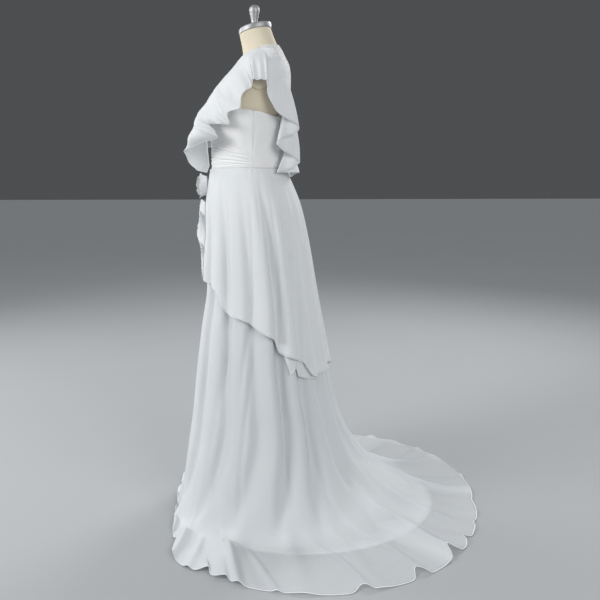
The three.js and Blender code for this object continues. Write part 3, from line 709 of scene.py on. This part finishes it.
def hanging_fold(angle, at):
    hanging = ease(0, 0.3, at) * (1 - ease(LANDING_AT - 0.14, LANDING_AT + 0.04, at))
    depth = 0
    for fold in FOLDS:
        away = wrap(angle - fold_angle(fold, at)) / (fold["width"] * mix(0.8, 1, at))
        away = away * np.where(away < 0, FOLD_SKEW["front"], FOLD_SKEW["back"])
        depth = depth - fold["depth"] * hanging * np.exp(-(away**2))
    return depth


def crease(angle, at):
    depth = 0
    for row in CREASES:
        middle = mix(row["waist"], row["hem"], ease(0.1, 1.05, at) * 0.9 + 0.1 * at)
        away = wrap(angle - middle) / row["width"]
        ends = ease(row["start"], row["start"] + 0.12, at) * (1 - ease(row["end"] - 0.14, row["end"], at))
        depth = depth - row["depth"] * ends * np.exp(-(away**2))
    return depth


def waist_gathers(angle, at):
    """Short fine gathers just under the waist seam."""
    swell = 0.55 + 0.45 * np.sin(np.radians(angle * 7.3 + 50))
    uneven = np.sin(np.radians(angle * 41 + 70 * np.sin(np.radians(angle * 3.7))))
    fade = ease(0, 0.004, at) * (1 - ease(0.012, 0.045, at))
    return 0.5 * uneven * swell * fade


def floor_ridge(angle, at):
    lying = ease(LANDING_AT - 0.1, LANDING_AT + 0.02, at) * (1 - 0.55 * ease(0.9, 1, at))
    height = 0
    for fold in FOLDS:
        away = wrap(angle - fold_angle(fold, at) - 1.5) / (fold["width"] * 0.7)
        height = height + fold["ridge"] * lying * np.exp(-(away**2))
    for fold in FLOOR_FOLDS:
        sweep = FLOOR_FOLD_SWEEP * (1 - at) * np.sin(np.radians(fold["angle"] * 5))
        away = wrap(angle - fold["angle"] - sweep) / fold["width"]
        height = height + fold["height"] * ease(fold["start"], fold["start"] + 0.1, at) * np.exp(-(away**2))
    return height


def notch_depth(angle):
    return sum(
        row["depth"] * np.exp(-((wrap(angle - row["angle"]) / row["width"]) ** 2)) for row in HEM_NOTCHES
    )


hem_reach = curve(HEM_REACH, "angle", "share")


def skirt_point(angle, at, out=0.0):
    normal = outward(skirt_at, angle, at)
    moved = hanging_fold(angle, at) + floor_ridge(angle, at) + crease(angle, at) + out
    point = oval_point(skirt_at(at), angle) + normal * moved[:, None]
    reach = 1 + (hem_reach(angle) - 1) * ease(0.82, 1, at)
    notch = notch_depth(angle) * ease(0.92, 1, at)
    point[:, 0] = point[:, 0] * reach - notch * np.cos(np.radians(angle))
    point[:, 1] = HEM_CENTRE + (point[:, 1] - HEM_CENTRE) * reach - notch * np.sin(np.radians(angle))
    point[:, 2] += NOTCH_LIFT * notch
    point[:, 2] = np.maximum(point[:, 2], 1.5)
    return point


def share_at_height(z, angle):
    low = np.zeros_like(angle)
    high = np.ones_like(angle)
    for _ in range(20):
        middle = (low + high) / 2
        above = oval_point(skirt_at(middle), angle)[:, 2] > z
        low = np.where(above, middle, low)
        high = np.where(above, high, middle)
    return (low + high) / 2


def lining_point(angle, at):
    point = oval_point(lining_at(at), angle)
    fold = hanging_fold(angle, share_at_height(point[:, 2], angle)) * (1 - ease(0.84, 0.94, at))
    below = ease(0, 0.12, at) * (1 - ease(0.86, 0.97, at))
    inset = mix(LINING_INSET["waist"], LINING_INSET["below"], below)
    point += outward(lining_at, angle, at) * (fold - inset)[:, None]
    point[:, 2] = np.maximum(point[:, 2], 1.5)
    return point


def all_round(point, sections):
    """A cloth all round the body whose rows follow the rows of its table."""
    shares = np.array([row["at"] for row in sections])
    return lambda across, down: point(
        -90 + 360 * across, np.interp(down * (len(shares) - 1), np.arange(len(shares)), shares)
    )


hem_height = curve(OVERSKIRT_HEM, "angle", "z")
under_fold_height = lines(UNDER_FOLD, "angle", "z")
layers_at = lines(LAYERED, "angle", "density")


def overskirt_point(across, down):
    edge = mix(OVERSKIRT_EDGE["waist"], OVERSKIRT_EDGE["hem"], down)
    angle = mix(edge, 180 - edge, across)
    mirrored = np.where(angle <= 90, angle, 180 - angle)
    at = share_at_height(hem_height(mirrored), angle) * down
    spread = mix(OVERSKIRT_OFFSET["waist"], OVERSKIRT_OFFSET["below"], ease(0, 0.12, at))
    flare = OVERSKIRT_OFFSET["hem_flare"] * ease(0.5, 1, down)
    return skirt_point(angle, at, spread + flare + waist_gathers(angle, at))


def under_fold_place(to_right):
    ends = (UNDER_FOLD[-1], UNDER_FOLD[0]) if to_right else (UNDER_FOLD[0], UNDER_FOLD[-1])

    def place(across, down):
        angle = mix(ends[0]["angle"], ends[1]["angle"], across)
        z = under_fold_height(angle) + UNDER_FOLD_RISE * (1 - down)
        wave = np.sin(np.radians((angle - UNDER_FOLD_PLEATS["from"]) * UNDER_FOLD_PLEATS["rate"]))
        pleat = UNDER_FOLD_PLEATS["depth"] * wave * ease(0, 0.5, down)
        around = 180 - angle if to_right else angle
        return skirt_point(around, share_at_height(z, around), UNDER_FOLD_OUT + pleat)

    return place


# Flounces and ruffles
def flounce_point(seam_at, edge, out, ripple=RIPPLE["size"]):
    parts = [{**row, "part": i / (len(edge) - 1)} for i, row in enumerate(edge)]
    edge_at = curves(parts, "part", EDGE_COLUMNS)

    def place(across, down):
        hem = edge_at(across)
        top = seam_at(hem["along"])
        share = down**1.1
        free = np.stack([hem["x"], hem["y"], hem["z"]], -1)
        point = mix(top, free, share[:, None])
        bulge = hem["bulge"] * 4 * share * (1 - share)
        uneven = across * RIPPLE["count"] + 0.8 * np.sin(across * 23)
        bulge = bulge + ripple * np.sin(2 * np.pi * uneven) * ease(0.35, 1, down) * ease(0, 0.04, across)
        level = unit(point[:, :2])
        point[:, :2] += level * bulge[:, None]
        point[:, 2] += bulge * 0.5 * ease(1300, 1400, point[:, 2])
        over_shoulder = ease(20, 50, point[:, 1]) * (1 - 0.5 * ease(60, 100, point[:, 1]))
        return clear_of_body(point, out + 7 * over_shoulder)

    return place


def seam_of(rows):
    found = curves(rows, "along", ("x", "y", "z"))
    return lambda along: np.stack(list(found(along).values()), -1)


def cascade_seam(along):
    place = mix(CASCADE_SEAM["from"], CASCADE_SEAM["to"], along)
    point = overskirt_point(np.full_like(place, CASCADE_SEAM["in_from_edge"]), place)
    point[:, 1] -= CASCADE_SEAM["out"]
    return point


flounce_shape = flounce_point(seam_of(FLOUNCE_SEAM), FLOUNCE_EDGE, FLOUNCE_CLEARANCE)
cascade_shape = flounce_point(cascade_seam, CASCADE_EDGE, CASCADE_CLEARANCE, 1.0)


# Bodice panels
front_edges = curves(FRONT_EDGES, "z", ("inner", "outer"))
lace_edge = curve(LACE_EDGES, "z", "start")


def ruch_spacing(to_side):
    return mix(RUCHES["spacing"], RUCHES["side_spacing"], to_side**1.3)


def ruching(to_side, z):
    """Folds that run round the waist and close up towards the side seam, no two quite alike."""
    folds = (z - WAIST) / ruch_spacing(to_side)
    above = ease(RUCHES["count"] - 0.6, RUCHES["count"] + 0.6, folds)
    wander = 0.22 * np.sin(to_side * 5 + folds * 1.9) + 0.12 * np.sin(to_side * 13 + folds * 3.1)
    groove = np.abs(np.cos(np.pi * (folds + wander))) ** 5
    uneven = 0.75 + 0.35 * np.sin(folds * 2.3 + to_side * 3)
    fold = RUCHES["depth"] * (0.5 - 1.5 * groove * uneven) * ease(0, 0.7, folds) * (1 - above)
    cup = 0.8 * np.sin(to_side * 26 + z * 0.02) * above
    return (fold + cup) * (1 - ease(0.9, 1, to_side))


def front_place(across, down):
    band = WAIST + SEAM + RUCHES["count"] * ruch_spacing(across)
    rows = np.arange(len(CUP_ROWS) + 1)
    place = np.minimum(down / (1 - RUCHED_SHARE), 1) * len(CUP_ROWS)
    inner = np.interp(place, rows, [row["inner"] for row in CUP_ROWS] + [0])
    outer = np.interp(place, rows, [row["outer"] for row in CUP_ROWS] + [0])
    last = np.clip(place - len(CUP_ROWS) + 1, 0, 1)
    lowest = mix(CUP_ROWS[-1]["inner"], CUP_ROWS[-1]["outer"], across)
    cup = np.where(last > 0, mix(lowest, band, last), mix(inner, outer, across))
    ruched = np.clip((down - 1 + RUCHED_SHARE) / RUCHED_SHARE, 0, 1)
    z = np.where(ruched > 0, mix(band, WAIST + SEAM, ruched), cup)
    edges = front_edges(z)
    angle = mix(edges["inner"], edges["outer"], across)
    return body_point(z, angle, BODICE_OUT + ruching(across, z))


def drag_lines(across, down, count, size):
    """Faint pulls that run slantwise over a smooth panel."""
    return size * np.sin(count * (across * 1.3 + down) + 2 * np.sin(across * 5)) * ease(0, 0.1, down)


def side_place(across, down):
    angle = mix(SIDE_SEAM - 0.5, BACK_SEAM, across)
    top = mix(ARMHOLE_BOTTOM, BACK_TOP["seam"], ease(0, 1, across))
    tucked = 0.9 * (1 - ease(0, 0.05, across))
    out = BODICE_OUT + drag_lines(across, down, 9, 0.35) - tucked
    return body_point(mix(top, WAIST + SEAM, down), angle, out)


def back_place(across, down):
    angle = mix(BACK_SEAM + 0.05, 89.95, across)
    top = mix(BACK_TOP["seam"], BACK_TOP["centre"], ease(0, 1, across))
    return body_point(mix(top, WAIST + SEAM, down), angle, BODICE_OUT + drag_lines(across, down, 8, 0.35))


def lace_place(across, down):
    from_centre = np.abs(1 - across * 2)
    side = np.where(across < 0.5, -1, 1)
    top = mix(LACE_TOP["centre"], LACE_TOP["front"], from_centre**2)
    low = mix(BACK_TOP["centre"], BACK_TOP["seam"], ease(0, 1, from_centre)) + 2 * SEAM
    z = mix(top, low, down**1.5)
    point = body_point(z, mix(90, lace_edge(z), from_centre), LACE_OUT)
    point[:, 0] *= -side
    return point


def rosette_place(across, down):
    turn = 2 * np.pi * ROSETTE["turns"] * across
    root = mix(ROSETTE["inner"], ROSETTE["outer"], across**0.8)
    waves = 2.6 * np.sin(turn * 4.3 + 1.2 * np.sin(turn * 1.7)) * down
    radius = root + ROSETTE["spread"] * down**1.4 + waves
    depth = mix(ROSETTE["depth"], 17, across**1.5) * np.sin(down * 1.5) + 1.6 * np.sin(turn * 5.1) * down
    back = ROSETTE["back"] + 7 * ease(20, 38, radius) * np.abs(np.cos(turn)) * (1 - down)
    y = back - np.maximum(depth, 0)
    return np.stack([radius * np.cos(turn), y, ROSETTE["z"] + radius * np.sin(turn)], -1)


def skirt_layers(across, down):
    """The sheer skirt lies double in its gathered front and in the folds on its train."""
    return np.maximum(layers_at(-90 + 360 * across), TRAIN_DENSITY * (1 - ease(0.70, 0.82, down)))


# Mesh makers
def start_grid(name, across, down):
    bpy.ops.object.select_all(action="DESELECT")
    bpy.ops.mesh.primitive_grid_add(x_subdivisions=across, y_subdivisions=down, size=1, calc_uvs=True)
    piece = bpy.context.object
    piece.name = piece.data.name = name
    return piece


def grid_shares(mesh):
    """How far across and down each point of a new grid lies, from 0 to 1."""
    corners = np.empty(len(mesh.vertices) * 3)
    mesh.vertices.foreach_get("co", corners)
    share = corners.reshape(-1, 3)[:, :2] + 0.5
    return share[:, 0], 1 - share[:, 1]


def shape_grid(piece, place, flat=(1, 1)):
    """Moves a grid's points to their places and scales its UV map to the cloth's own metres."""
    mesh = piece.data
    points = place(*grid_shares(mesh)) * MM
    mesh.vertices.foreach_set("co", points.ravel())
    spots = np.empty(len(mesh.loops) * 2)
    mesh.uv_layers.active.data.foreach_get("uv", spots)
    mesh.uv_layers.active.data.foreach_set("uv", (spots.reshape(-1, 2) * flat).ravel())
    mesh.update()


def edit_whole(*steps):
    """Runs each step on all of the active piece in edit mode."""
    bpy.ops.object.mode_set(mode="EDIT")
    bpy.ops.mesh.select_all(action="SELECT")
    for step in steps:
        step()
    bpy.ops.object.mode_set(mode="OBJECT")


def merge_seam():
    edit_whole(lambda: bpy.ops.mesh.remove_doubles(threshold=1e-5))


def face_outward():
    bpy.ops.mesh.normals_make_consistent(inside=False)


def mark_density(piece, density):
    """Keeps how thick the cloth lies at each point, where its layers double up."""
    mesh = piece.data
    layer = mesh.attributes.new("layered", "FLOAT", "POINT")
    layer.data.foreach_set("value", density(*grid_shares(mesh)).ravel())


def cloth(name, place, grid, flat, wall=CHIFFON_WALL, closed=False, mirror=False, density=None):
    """A thin shell of cloth on its solid's form."""
    piece = start_grid(name, *grid)
    if density:
        mark_density(piece, density)
    side = np.array([-1 if mirror else 1, 1, 1])
    shape_grid(piece, lambda across, down: place(across, down) * side, flat)
    if closed:
        merge_seam()
    if mirror:
        edit_whole(bpy.ops.mesh.flip_normals)
    shell = piece.modifiers.new("wall", "SOLIDIFY")
    shell.thickness = wall * MM
    shell.offset = -1
    bpy.ops.object.modifier_apply(modifier=shell.name)
    bpy.ops.object.shade_smooth()
    return piece


def hem_roll(name, place, steps, width=HEM["width"], closed=False, mirror=False):
    """The narrow rolled hem along a cloth's free edge."""
    side = np.array([-1 if mirror else 1, 1, 1])

    def roll(across, down):
        low = np.ones_like(across)
        edge = place(across, low)
        ahead = (across + 0.5 / steps) % 1 if closed else np.minimum(across + 0.5 / steps, 1)
        behind = (across - 0.5 / steps) % 1 if closed else np.maximum(across - 0.5 / steps, 0)
        along = unit(place(ahead, low) - place(behind, low))
        fall = unit(edge - place(across, low * 0.985))
        normal = unit(np.cross(fall, along))
        turn = 2 * np.pi * down
        taper = 1 if closed else ease(0, 0.004, across) * (1 - ease(0.996, 1, across))
        outward_part = normal * (HEM["thick"] * np.sin(turn) * taper)[:, None]
        falling_part = fall * (width * np.cos(turn) * taper)[:, None]
        moved = edge + (outward_part + falling_part)
        moved[:, 2] = np.maximum(moved[:, 2], 0.1)
        return moved * side

    piece = start_grid(name, steps, HEM_SIDES)
    shape_grid(piece, roll)
    merge_seam()
    edit_whole(face_outward)
    bpy.ops.object.shade_smooth()
    return piece


def solid_form(name, place, grid):
    """A closed round form with flat ends."""
    piece = start_grid(name, *grid)
    shape_grid(piece, place)
    merge_seam()
    edit_whole(lambda: bpy.ops.mesh.fill_holes(sides=0), face_outward)
    bpy.ops.object.shade_smooth_by_angle(angle=math.radians(40))
    return piece


def turned(name, outline, place):
    """A turned piece: a disc drawn up ring by ring along its outline, in metres."""
    bpy.ops.object.select_all(action="DESELECT")
    first = outline[0]
    start = (place[0] * MM, place[1] * MM, (place[2] + first["rise"]) * MM)
    radius = first["radius"] * MM
    bpy.ops.mesh.primitive_circle_add(vertices=48, radius=radius, fill_type="NGON", location=start)
    piece = bpy.context.object
    piece.name = piece.data.name = name
    bpy.ops.object.mode_set(mode="EDIT")
    for below, above in zip(outline, outline[1:]):
        lift = (0, 0, (above["rise"] - below["rise"]) * MM)
        bpy.ops.mesh.extrude_region_move(TRANSFORM_OT_translate={"value": lift})
        grow = above["radius"] / below["radius"]
        bpy.ops.transform.resize(value=(grow, grow, 1))
    bpy.ops.mesh.select_all(action="SELECT")
    face_outward()
    bpy.ops.object.mode_set(mode="OBJECT")
    bpy.ops.object.transform_apply(location=True, rotation=True, scale=True)
    smooth = piece.modifiers.new("smooth", "SUBSURF")
    smooth.levels = smooth.render_levels = 2
    bpy.ops.object.modifier_apply(modifier=smooth.name)
    bpy.ops.object.shade_smooth()
    return piece


# Node groups
def new_group(name, sockets):
    group = bpy.data.node_groups.new(name, "ShaderNodeTree")
    for label, way, kind, start in sockets:
        socket = group.interface.new_socket(name=label, in_out=way, socket_type=kind)
        if start is not None:
            socket.default_value = start
    source = group.nodes.new("NodeGroupInput")
    sink = group.nodes.new("NodeGroupOutput")
    return group, source, sink


def math_node(tree, operation, *values):
    node = tree.nodes.new("ShaderNodeMath")
    node.operation = operation
    for slot, value in zip(node.inputs, values):
        if isinstance(value, (int, float)):
            slot.default_value = value
        else:
            tree.links.new(value, slot)
    return node.outputs[0]


def weave_group():
    """Crossing threads with slubs, given as a height for a bump and a tone."""
    group, source, sink = new_group(
        "crossed_threads",
        [
            ("Vector", "INPUT", "NodeSocketVector", None),
            ("Threads per metre", "INPUT", "NodeSocketFloat", 1600.0),
            ("Height", "OUTPUT", "NodeSocketFloat", None),
            ("Tone", "OUTPUT", "NodeSocketFloat", None),
        ],
    )
    split = group.nodes.new("ShaderNodeSeparateXYZ")
    group.links.new(source.outputs["Vector"], split.inputs[0])
    pitch = math_node(group, "MULTIPLY", source.outputs["Threads per metre"], math.pi)
    warp = math_node(group, "SINE", math_node(group, "MULTIPLY", split.outputs["X"], pitch))
    weft = math_node(group, "SINE", math_node(group, "MULTIPLY", split.outputs["Y"], pitch))
    crossed = math_node(group, "MULTIPLY", warp, weft)
    slub = group.nodes.new("ShaderNodeTexNoise")
    slub.inputs["Scale"].default_value = 90
    slub.inputs["Detail"].default_value = 3
    group.links.new(source.outputs["Vector"], slub.inputs["Vector"])
    height = math_node(group, "ADD", math_node(group, "MULTIPLY", crossed, 0.35), slub.outputs[0])
    group.links.new(height, sink.inputs["Height"])
    group.links.new(slub.outputs[0], sink.inputs["Tone"])
    return group


def shade_group():
    """Slow changes of tone over a large surface."""
    group, source, sink = new_group(
        "slow_tone",
        [
            ("Light", "INPUT", "NodeSocketColor", (1, 1, 1, 1)),
            ("Dark", "INPUT", "NodeSocketColor", (0.9, 0.9, 0.9, 1)),
            ("Scale", "INPUT", "NodeSocketFloat", 6.0),
            ("Tone", "INPUT", "NodeSocketFloat", 0.5),
            ("Color", "OUTPUT", "NodeSocketColor", None),
        ],
    )
    place = group.nodes.new("ShaderNodeTexCoord")
    noise = group.nodes.new("ShaderNodeTexNoise")
    noise.inputs["Detail"].default_value = 4
    group.links.new(place.outputs["Object"], noise.inputs["Vector"])
    group.links.new(source.outputs["Scale"], noise.inputs["Scale"])
    share = math_node(group, "MULTIPLY", noise.outputs[0], source.outputs["Tone"])
    blend = group.nodes.new("ShaderNodeMix")
    blend.data_type = "RGBA"
    group.links.new(math_node(group, "MULTIPLY", share, 2), blend.inputs["Factor"])
    group.links.new(source.outputs["Light"], blend.inputs["A"])
    group.links.new(source.outputs["Dark"], blend.inputs["B"])
    group.links.new(blend.outputs["Result"], sink.inputs["Color"])
    return group


def lace_group():
    """Five-petalled flowers and curling stems on a fine net."""
    group, source, sink = new_group(
        "flowered_net",
        [
            ("Vector", "INPUT", "NodeSocketVector", None),
            ("Repeat", "INPUT", "NodeSocketFloat", LACE_REPEAT),
            ("Mask", "OUTPUT", "NodeSocketFloat", None),
            ("Motif", "OUTPUT", "NodeSocketFloat", None),
        ],
    )

    def calc(operation, *values):
        return math_node(group, operation, *values)

    split = group.nodes.new("ShaderNodeSeparateXYZ")
    group.links.new(source.outputs["Vector"], split.inputs[0])
    across = calc("DIVIDE", split.outputs["X"], source.outputs["Repeat"])
    up = calc("DIVIDE", split.outputs["Y"], source.outputs["Repeat"])
    row = calc("FLOOR", up)
    shift = calc("MULTIPLY", calc("FLOORED_MODULO", row, 2), 0.5)
    x = calc("SUBTRACT", calc("FRACT", calc("ADD", across, shift)), 0.5)
    y = calc("SUBTRACT", calc("FRACT", up), 0.5)
    radius = calc("SQRT", calc("ADD", calc("MULTIPLY", x, x), calc("MULTIPLY", y, y)))
    turn = calc("ARCTAN2", y, x)
    petal = calc("MULTIPLY_ADD", calc("COSINE", calc("MULTIPLY", turn, 5)), 0.09, 0.27)
    flower = calc("LESS_THAN", radius, petal)
    eye = calc("GREATER_THAN", radius, 0.055)
    vein = calc("GREATER_THAN", calc("ABSOLUTE", calc("SINE", calc("MULTIPLY", turn, 2.5))), 0.14)
    blossom = calc("MULTIPLY", calc("MULTIPLY", flower, eye), vein)
    sway = calc("MULTIPLY", calc("SINE", calc("MULTIPLY", across, 2 * math.pi)), 0.16)
    stem_y = calc("ABSOLUTE", calc("SUBTRACT", calc("FRACT", calc("ADD", up, sway)), 0.03))
    stem = calc("LESS_THAN", stem_y, 0.035)
    leaf_wave = calc("ABSOLUTE", calc("SINE", calc("MULTIPLY", across, 4 * math.pi)))
    leaf = calc("LESS_THAN", stem_y, calc("MULTIPLY", leaf_wave, 0.1))
    motif = calc("MAXIMUM", blossom, calc("MAXIMUM", stem, leaf))
    slant = calc("ADD", split.outputs["X"], split.outputs["Y"])
    other = calc("SUBTRACT", split.outputs["X"], split.outputs["Y"])
    net_a = calc("ABSOLUTE", calc("SINE", calc("MULTIPLY", slant, math.pi / NET_PITCH)))
    net_b = calc("ABSOLUTE", calc("SINE", calc("MULTIPLY", other, math.pi / NET_PITCH)))
    net = calc("LESS_THAN", calc("MINIMUM", net_a, net_b), 0.5)
    group.links.new(calc("MAXIMUM", motif, calc("MULTIPLY_ADD", net, 0.4, 0.5)), sink.inputs["Mask"])
    group.links.new(motif, sink.inputs["Motif"])
    return group


WEAVE = weave_group()
TONE = shade_group()
FLOWERED_NET = lace_group()


# Materials
def place_group(material, group):
    node = material.node_tree.nodes.new("ShaderNodeGroup")
    node.node_tree = group
    return node


def new_material(name, roughness, metallic=0.0):
    material = bpy.data.materials.new(name)
    material.use_nodes = True
    shader = material.node_tree.nodes["Principled BSDF"]
    shader.inputs["Roughness"].default_value = roughness
    shader.inputs["Metallic"].default_value = metallic
    return material, shader


def tone_into(material, shader, light, dark, scale, tone=0.5):
    node = place_group(material, TONE)
    node.inputs["Light"].default_value = (*light, 1)
    node.inputs["Dark"].default_value = (*dark, 1)
    node.inputs["Scale"].default_value = scale
    node.inputs["Tone"].default_value = tone
    material.node_tree.links.new(node.outputs["Color"], shader.inputs["Base Color"])


def coordinates(material, kind):
    return material.node_tree.nodes.new("ShaderNodeTexCoord").outputs[kind]


def fine_noise(material, scale):
    noise = material.node_tree.nodes.new("ShaderNodeTexNoise")
    noise.inputs["Scale"].default_value = scale
    material.node_tree.links.new(coordinates(material, "Object"), noise.inputs["Vector"])
    return noise.outputs[0]


def bump_into(material, shader, height, strength, distance):
    bump = material.node_tree.nodes.new("ShaderNodeBump")
    bump.inputs["Strength"].default_value = strength
    bump.inputs["Distance"].default_value = distance
    material.node_tree.links.new(height, bump.inputs["Height"])
    material.node_tree.links.new(bump.outputs["Normal"], shader.inputs["Normal"])


def cloth_material(name, light, dark, roughness, sheen, alpha, threads):
    material, shader = new_material(name, roughness)
    shader.inputs["Sheen Weight"].default_value = sheen
    shader.inputs["Sheen Roughness"].default_value = 0.45
    shader.inputs["Specular IOR Level"].default_value = 0.25
    shader.inputs["Alpha"].default_value = alpha
    tone_into(material, shader, light, dark, 7)
    weave = place_group(material, WEAVE)
    weave.inputs["Threads per metre"].default_value = threads
    material.node_tree.links.new(coordinates(material, "UV"), weave.inputs["Vector"])
    bump_into(material, shader, weave.outputs["Height"], 0.35, 0.0004)
    return material


def thicken_by_layers(material, single, double):
    """Makes sheer cloth denser where its layers double up."""
    layer = material.node_tree.nodes.new("ShaderNodeAttribute")
    layer.attribute_name = "layered"
    alpha = math_node(material.node_tree, "MULTIPLY_ADD", layer.outputs["Fac"], double - single, single)
    shader = material.node_tree.nodes["Principled BSDF"]
    material.node_tree.links.new(alpha, shader.inputs["Alpha"])


def lace_material():
    material, shader = new_material("ivory_lace", 0.8)
    tone_into(material, shader, (0.90, 0.90, 0.89), (0.84, 0.84, 0.83), 12)
    net = place_group(material, FLOWERED_NET)
    material.node_tree.links.new(coordinates(material, "UV"), net.inputs["Vector"])
    material.node_tree.links.new(net.outputs["Mask"], shader.inputs["Alpha"])
    bump_into(material, shader, net.outputs["Motif"], 0.6, 0.0008)
    return material


def form_material():
    material, shader = new_material("jersey_cover", 0.85)
    shader.inputs["Sheen Weight"].default_value = 0.15
    tone_into(material, shader, (0.78, 0.70, 0.55), (0.70, 0.62, 0.47), 9)
    bump_into(material, shader, fine_noise(material, 900), 0.25, 0.0004)
    return material


def metal_material():
    material, shader = new_material("brushed_plate", 0.55, 1.0)
    tone_into(material, shader, (0.47, 0.47, 0.48), (0.36, 0.36, 0.37), 14)
    bump_into(material, shader, fine_noise(material, 220), 0.08, 0.0003)
    return material


def floor_material():
    material, shader = new_material("studio_floor", 0.9)
    dark = tuple(share * 0.94 for share in FLOOR_COLOUR)
    tone_into(material, shader, FLOOR_COLOUR, dark, 1.5)
    return material


SHEER_ALPHA = {"single": 0.31, "double": 0.8}
SHEER_COLOURS = [(0.86, 0.885, 0.90), (0.79, 0.82, 0.84)]
SHEER = cloth_material("sheer_chiffon", *SHEER_COLOURS, 0.75, 0.2, SHEER_ALPHA["single"], 1500)
thicken_by_layers(SHEER, SHEER_ALPHA["single"], SHEER_ALPHA["double"])
VEILED = cloth_material("double_chiffon", (0.87, 0.89, 0.90), (0.81, 0.835, 0.85), 0.75, 0.2, 0.80, 1500)
ROLLED = cloth_material("rolled_edge", (0.88, 0.895, 0.905), (0.82, 0.84, 0.855), 0.75, 0.1, 1.0, 1500)
CREPE = cloth_material("bodice_chiffon", (0.88, 0.885, 0.88), (0.82, 0.825, 0.82), 0.75, 0.2, 1.0, 1500)
SATIN = cloth_material("satin_lining", (0.86, 0.87, 0.875), (0.81, 0.82, 0.83), 0.5, 0.1, 1.0, 2400)
LACE = lace_material()
JERSEY = form_material()
PLATE = metal_material()
FLOOR = floor_material()


def finish_piece(piece, material, slot, *nodes):
    piece.data.materials.clear()
    piece.data.materials.append(material)
    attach(piece, "root")
    if nodes:
        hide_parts(*nodes)


# Floor
def make_floor():
    bpy.ops.object.select_all(action="DESELECT")
    bpy.ops.mesh.primitive_plane_add(size=FLOOR_SIZE, location=(0, 0, 0))
    floor = bpy.context.object
    floor.name = "floor"
    floor.data.materials.append(FLOOR)


make_floor()


def make_skirts():
    skirt_place = all_round(skirt_point, SKIRT_SECTIONS)
    skirt = cloth("skirt_cloth", skirt_place, SKIRT_GRID, (3.3, 1.6), closed=True, density=skirt_layers)
    finish_piece(skirt, SHEER, "chiffon", "skirt")
    hem = hem_roll("skirt_hem", skirt_place, 700, HEM["width"] + SKIRT_HEM_EXTRA, closed=True)
    finish_piece(hem, ROLLED, "chiffon")

    lining_place = all_round(lining_point, LINING_SECTIONS)
    lining = cloth("lining_cloth", lining_place, LINING_GRID, (2.5, 1.4), LINING_WALL, closed=True)
    finish_piece(lining, SATIN, "lining_satin", "lining")

    over = cloth("overskirt_cloth", overskirt_point, OVERSKIRT_GRID, (1.6, 0.7))
    finish_piece(over, VEILED, "chiffon", "overskirt")
    over_hem = hem_roll("overskirt_hem", overskirt_point, 520)
    finish_piece(over_hem, ROLLED, "chiffon")
    for side, to_right in (("left", False), ("right", True)):
        place = under_fold_place(to_right)
        under = cloth(f"overskirt_under_fold_{side}", place, UNDER_FOLD_GRID, (0.13, 0.11))
        finish_piece(under, VEILED, "chiffon", "overskirt")
        edge = hem_roll(f"overskirt_under_hem_{side}", place, 160)
        finish_piece(edge, ROLLED, "chiffon")


def make_sides():
    panels = [
        # name, place, grid, flat size, area
        ("bodice_front", front_place, FRONT_GRID, (0.42, 0.42), 0.076),
        ("bodice_side", side_place, SIDE_GRID, (0.13, 0.18), 0.016),
        ("bodice_back", back_place, BACK_GRID, (0.15, 0.17), 0.018),
    ]
    for side, mirror in (("left", False), ("right", True)):
        for name, place, grid, flat, area in panels:
            panel = cloth(f"{name}_{side}_cloth", place, grid, flat, BODICE_WALL, mirror=mirror)
            finish_piece(panel, CREPE, "chiffon", f"{name}_{side}")
        ruffles = [
            ("flounce", flounce_shape, FLOUNCE_GRID, (1.4, 0.2), 0.14, 460),
            ("cascade", cascade_shape, CASCADE_GRID, (0.3, 0.05), 0.009, 160),
        ]
        for name, place, grid, flat, area, steps in ruffles:
            ruffle = cloth(f"{name}_{side}_cloth", place, grid, flat, mirror=mirror)
            finish_piece(ruffle, VEILED, "chiffon", f"{name}_{side}")
            hem = hem_roll(f"{name}_{side}_hem", place, steps, mirror=mirror)
            finish_piece(hem, ROLLED, "chiffon")


def make_yoke_and_rosette():
    yoke = cloth("lace_yoke_cloth", lace_place, YOKE_GRID, (0.40, 0.32))
    finish_piece(yoke, LACE, "lace", "lace_yoke")
    rosette = cloth("rosette_cloth", rosette_place, ROSETTE_GRID, (0.80, 0.032))
    finish_piece(rosette, ROLLED, "chiffon", "waist_rosette")


def make_form():
    def torso_place(across, down):
        return form_point(mix(NECK_TOP, FORM_BOTTOM, down), -90 + 360 * across)

    torso = solid_form("form_cover", torso_place, TORSO_GRID)
    finish_piece(torso, JERSEY, "form_cover", "form_torso")

    rises = np.array([row["rise"] for row in CAP_RINGS])
    margins = np.array([row["margin"] for row in CAP_RINGS])
    rings = np.arange(len(CAP_RINGS))

    def cap_place(across, down):
        row = (1 - down) * (len(CAP_RINGS) - 1)
        angle = -90 + 360 * across
        ring = body_point(np.full_like(angle, NECK_TOP), angle, np.interp(row, rings, margins))
        ring[:, 2] = NECK_TOP + np.interp(row, rings, rises) + ring[:, 1] * NECK_TILT
        return ring

    cap = solid_form("neck_cap_plate", cap_place, (CAP_STEPS, len(CAP_RINGS) - 1))
    finish_piece(cap, PLATE, "chrome_stand", "neck_cap")
    knob = turned("neck_knob_turned", KNOB_OUTLINE, KNOB_PLACE)
    finish_piece(knob, PLATE, "chrome_stand", "neck_knob")
    for name, material in (
        ("base", PLATE),
        ("pole", PLATE),
        ("arm_plate_left", JERSEY),
        ("arm_plate_right", JERSEY),
    ):
        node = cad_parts[name]
        node.data.materials.clear()
        node.data.materials.append(material)


make_form()
make_skirts()
make_sides()
make_yoke_and_rosette()
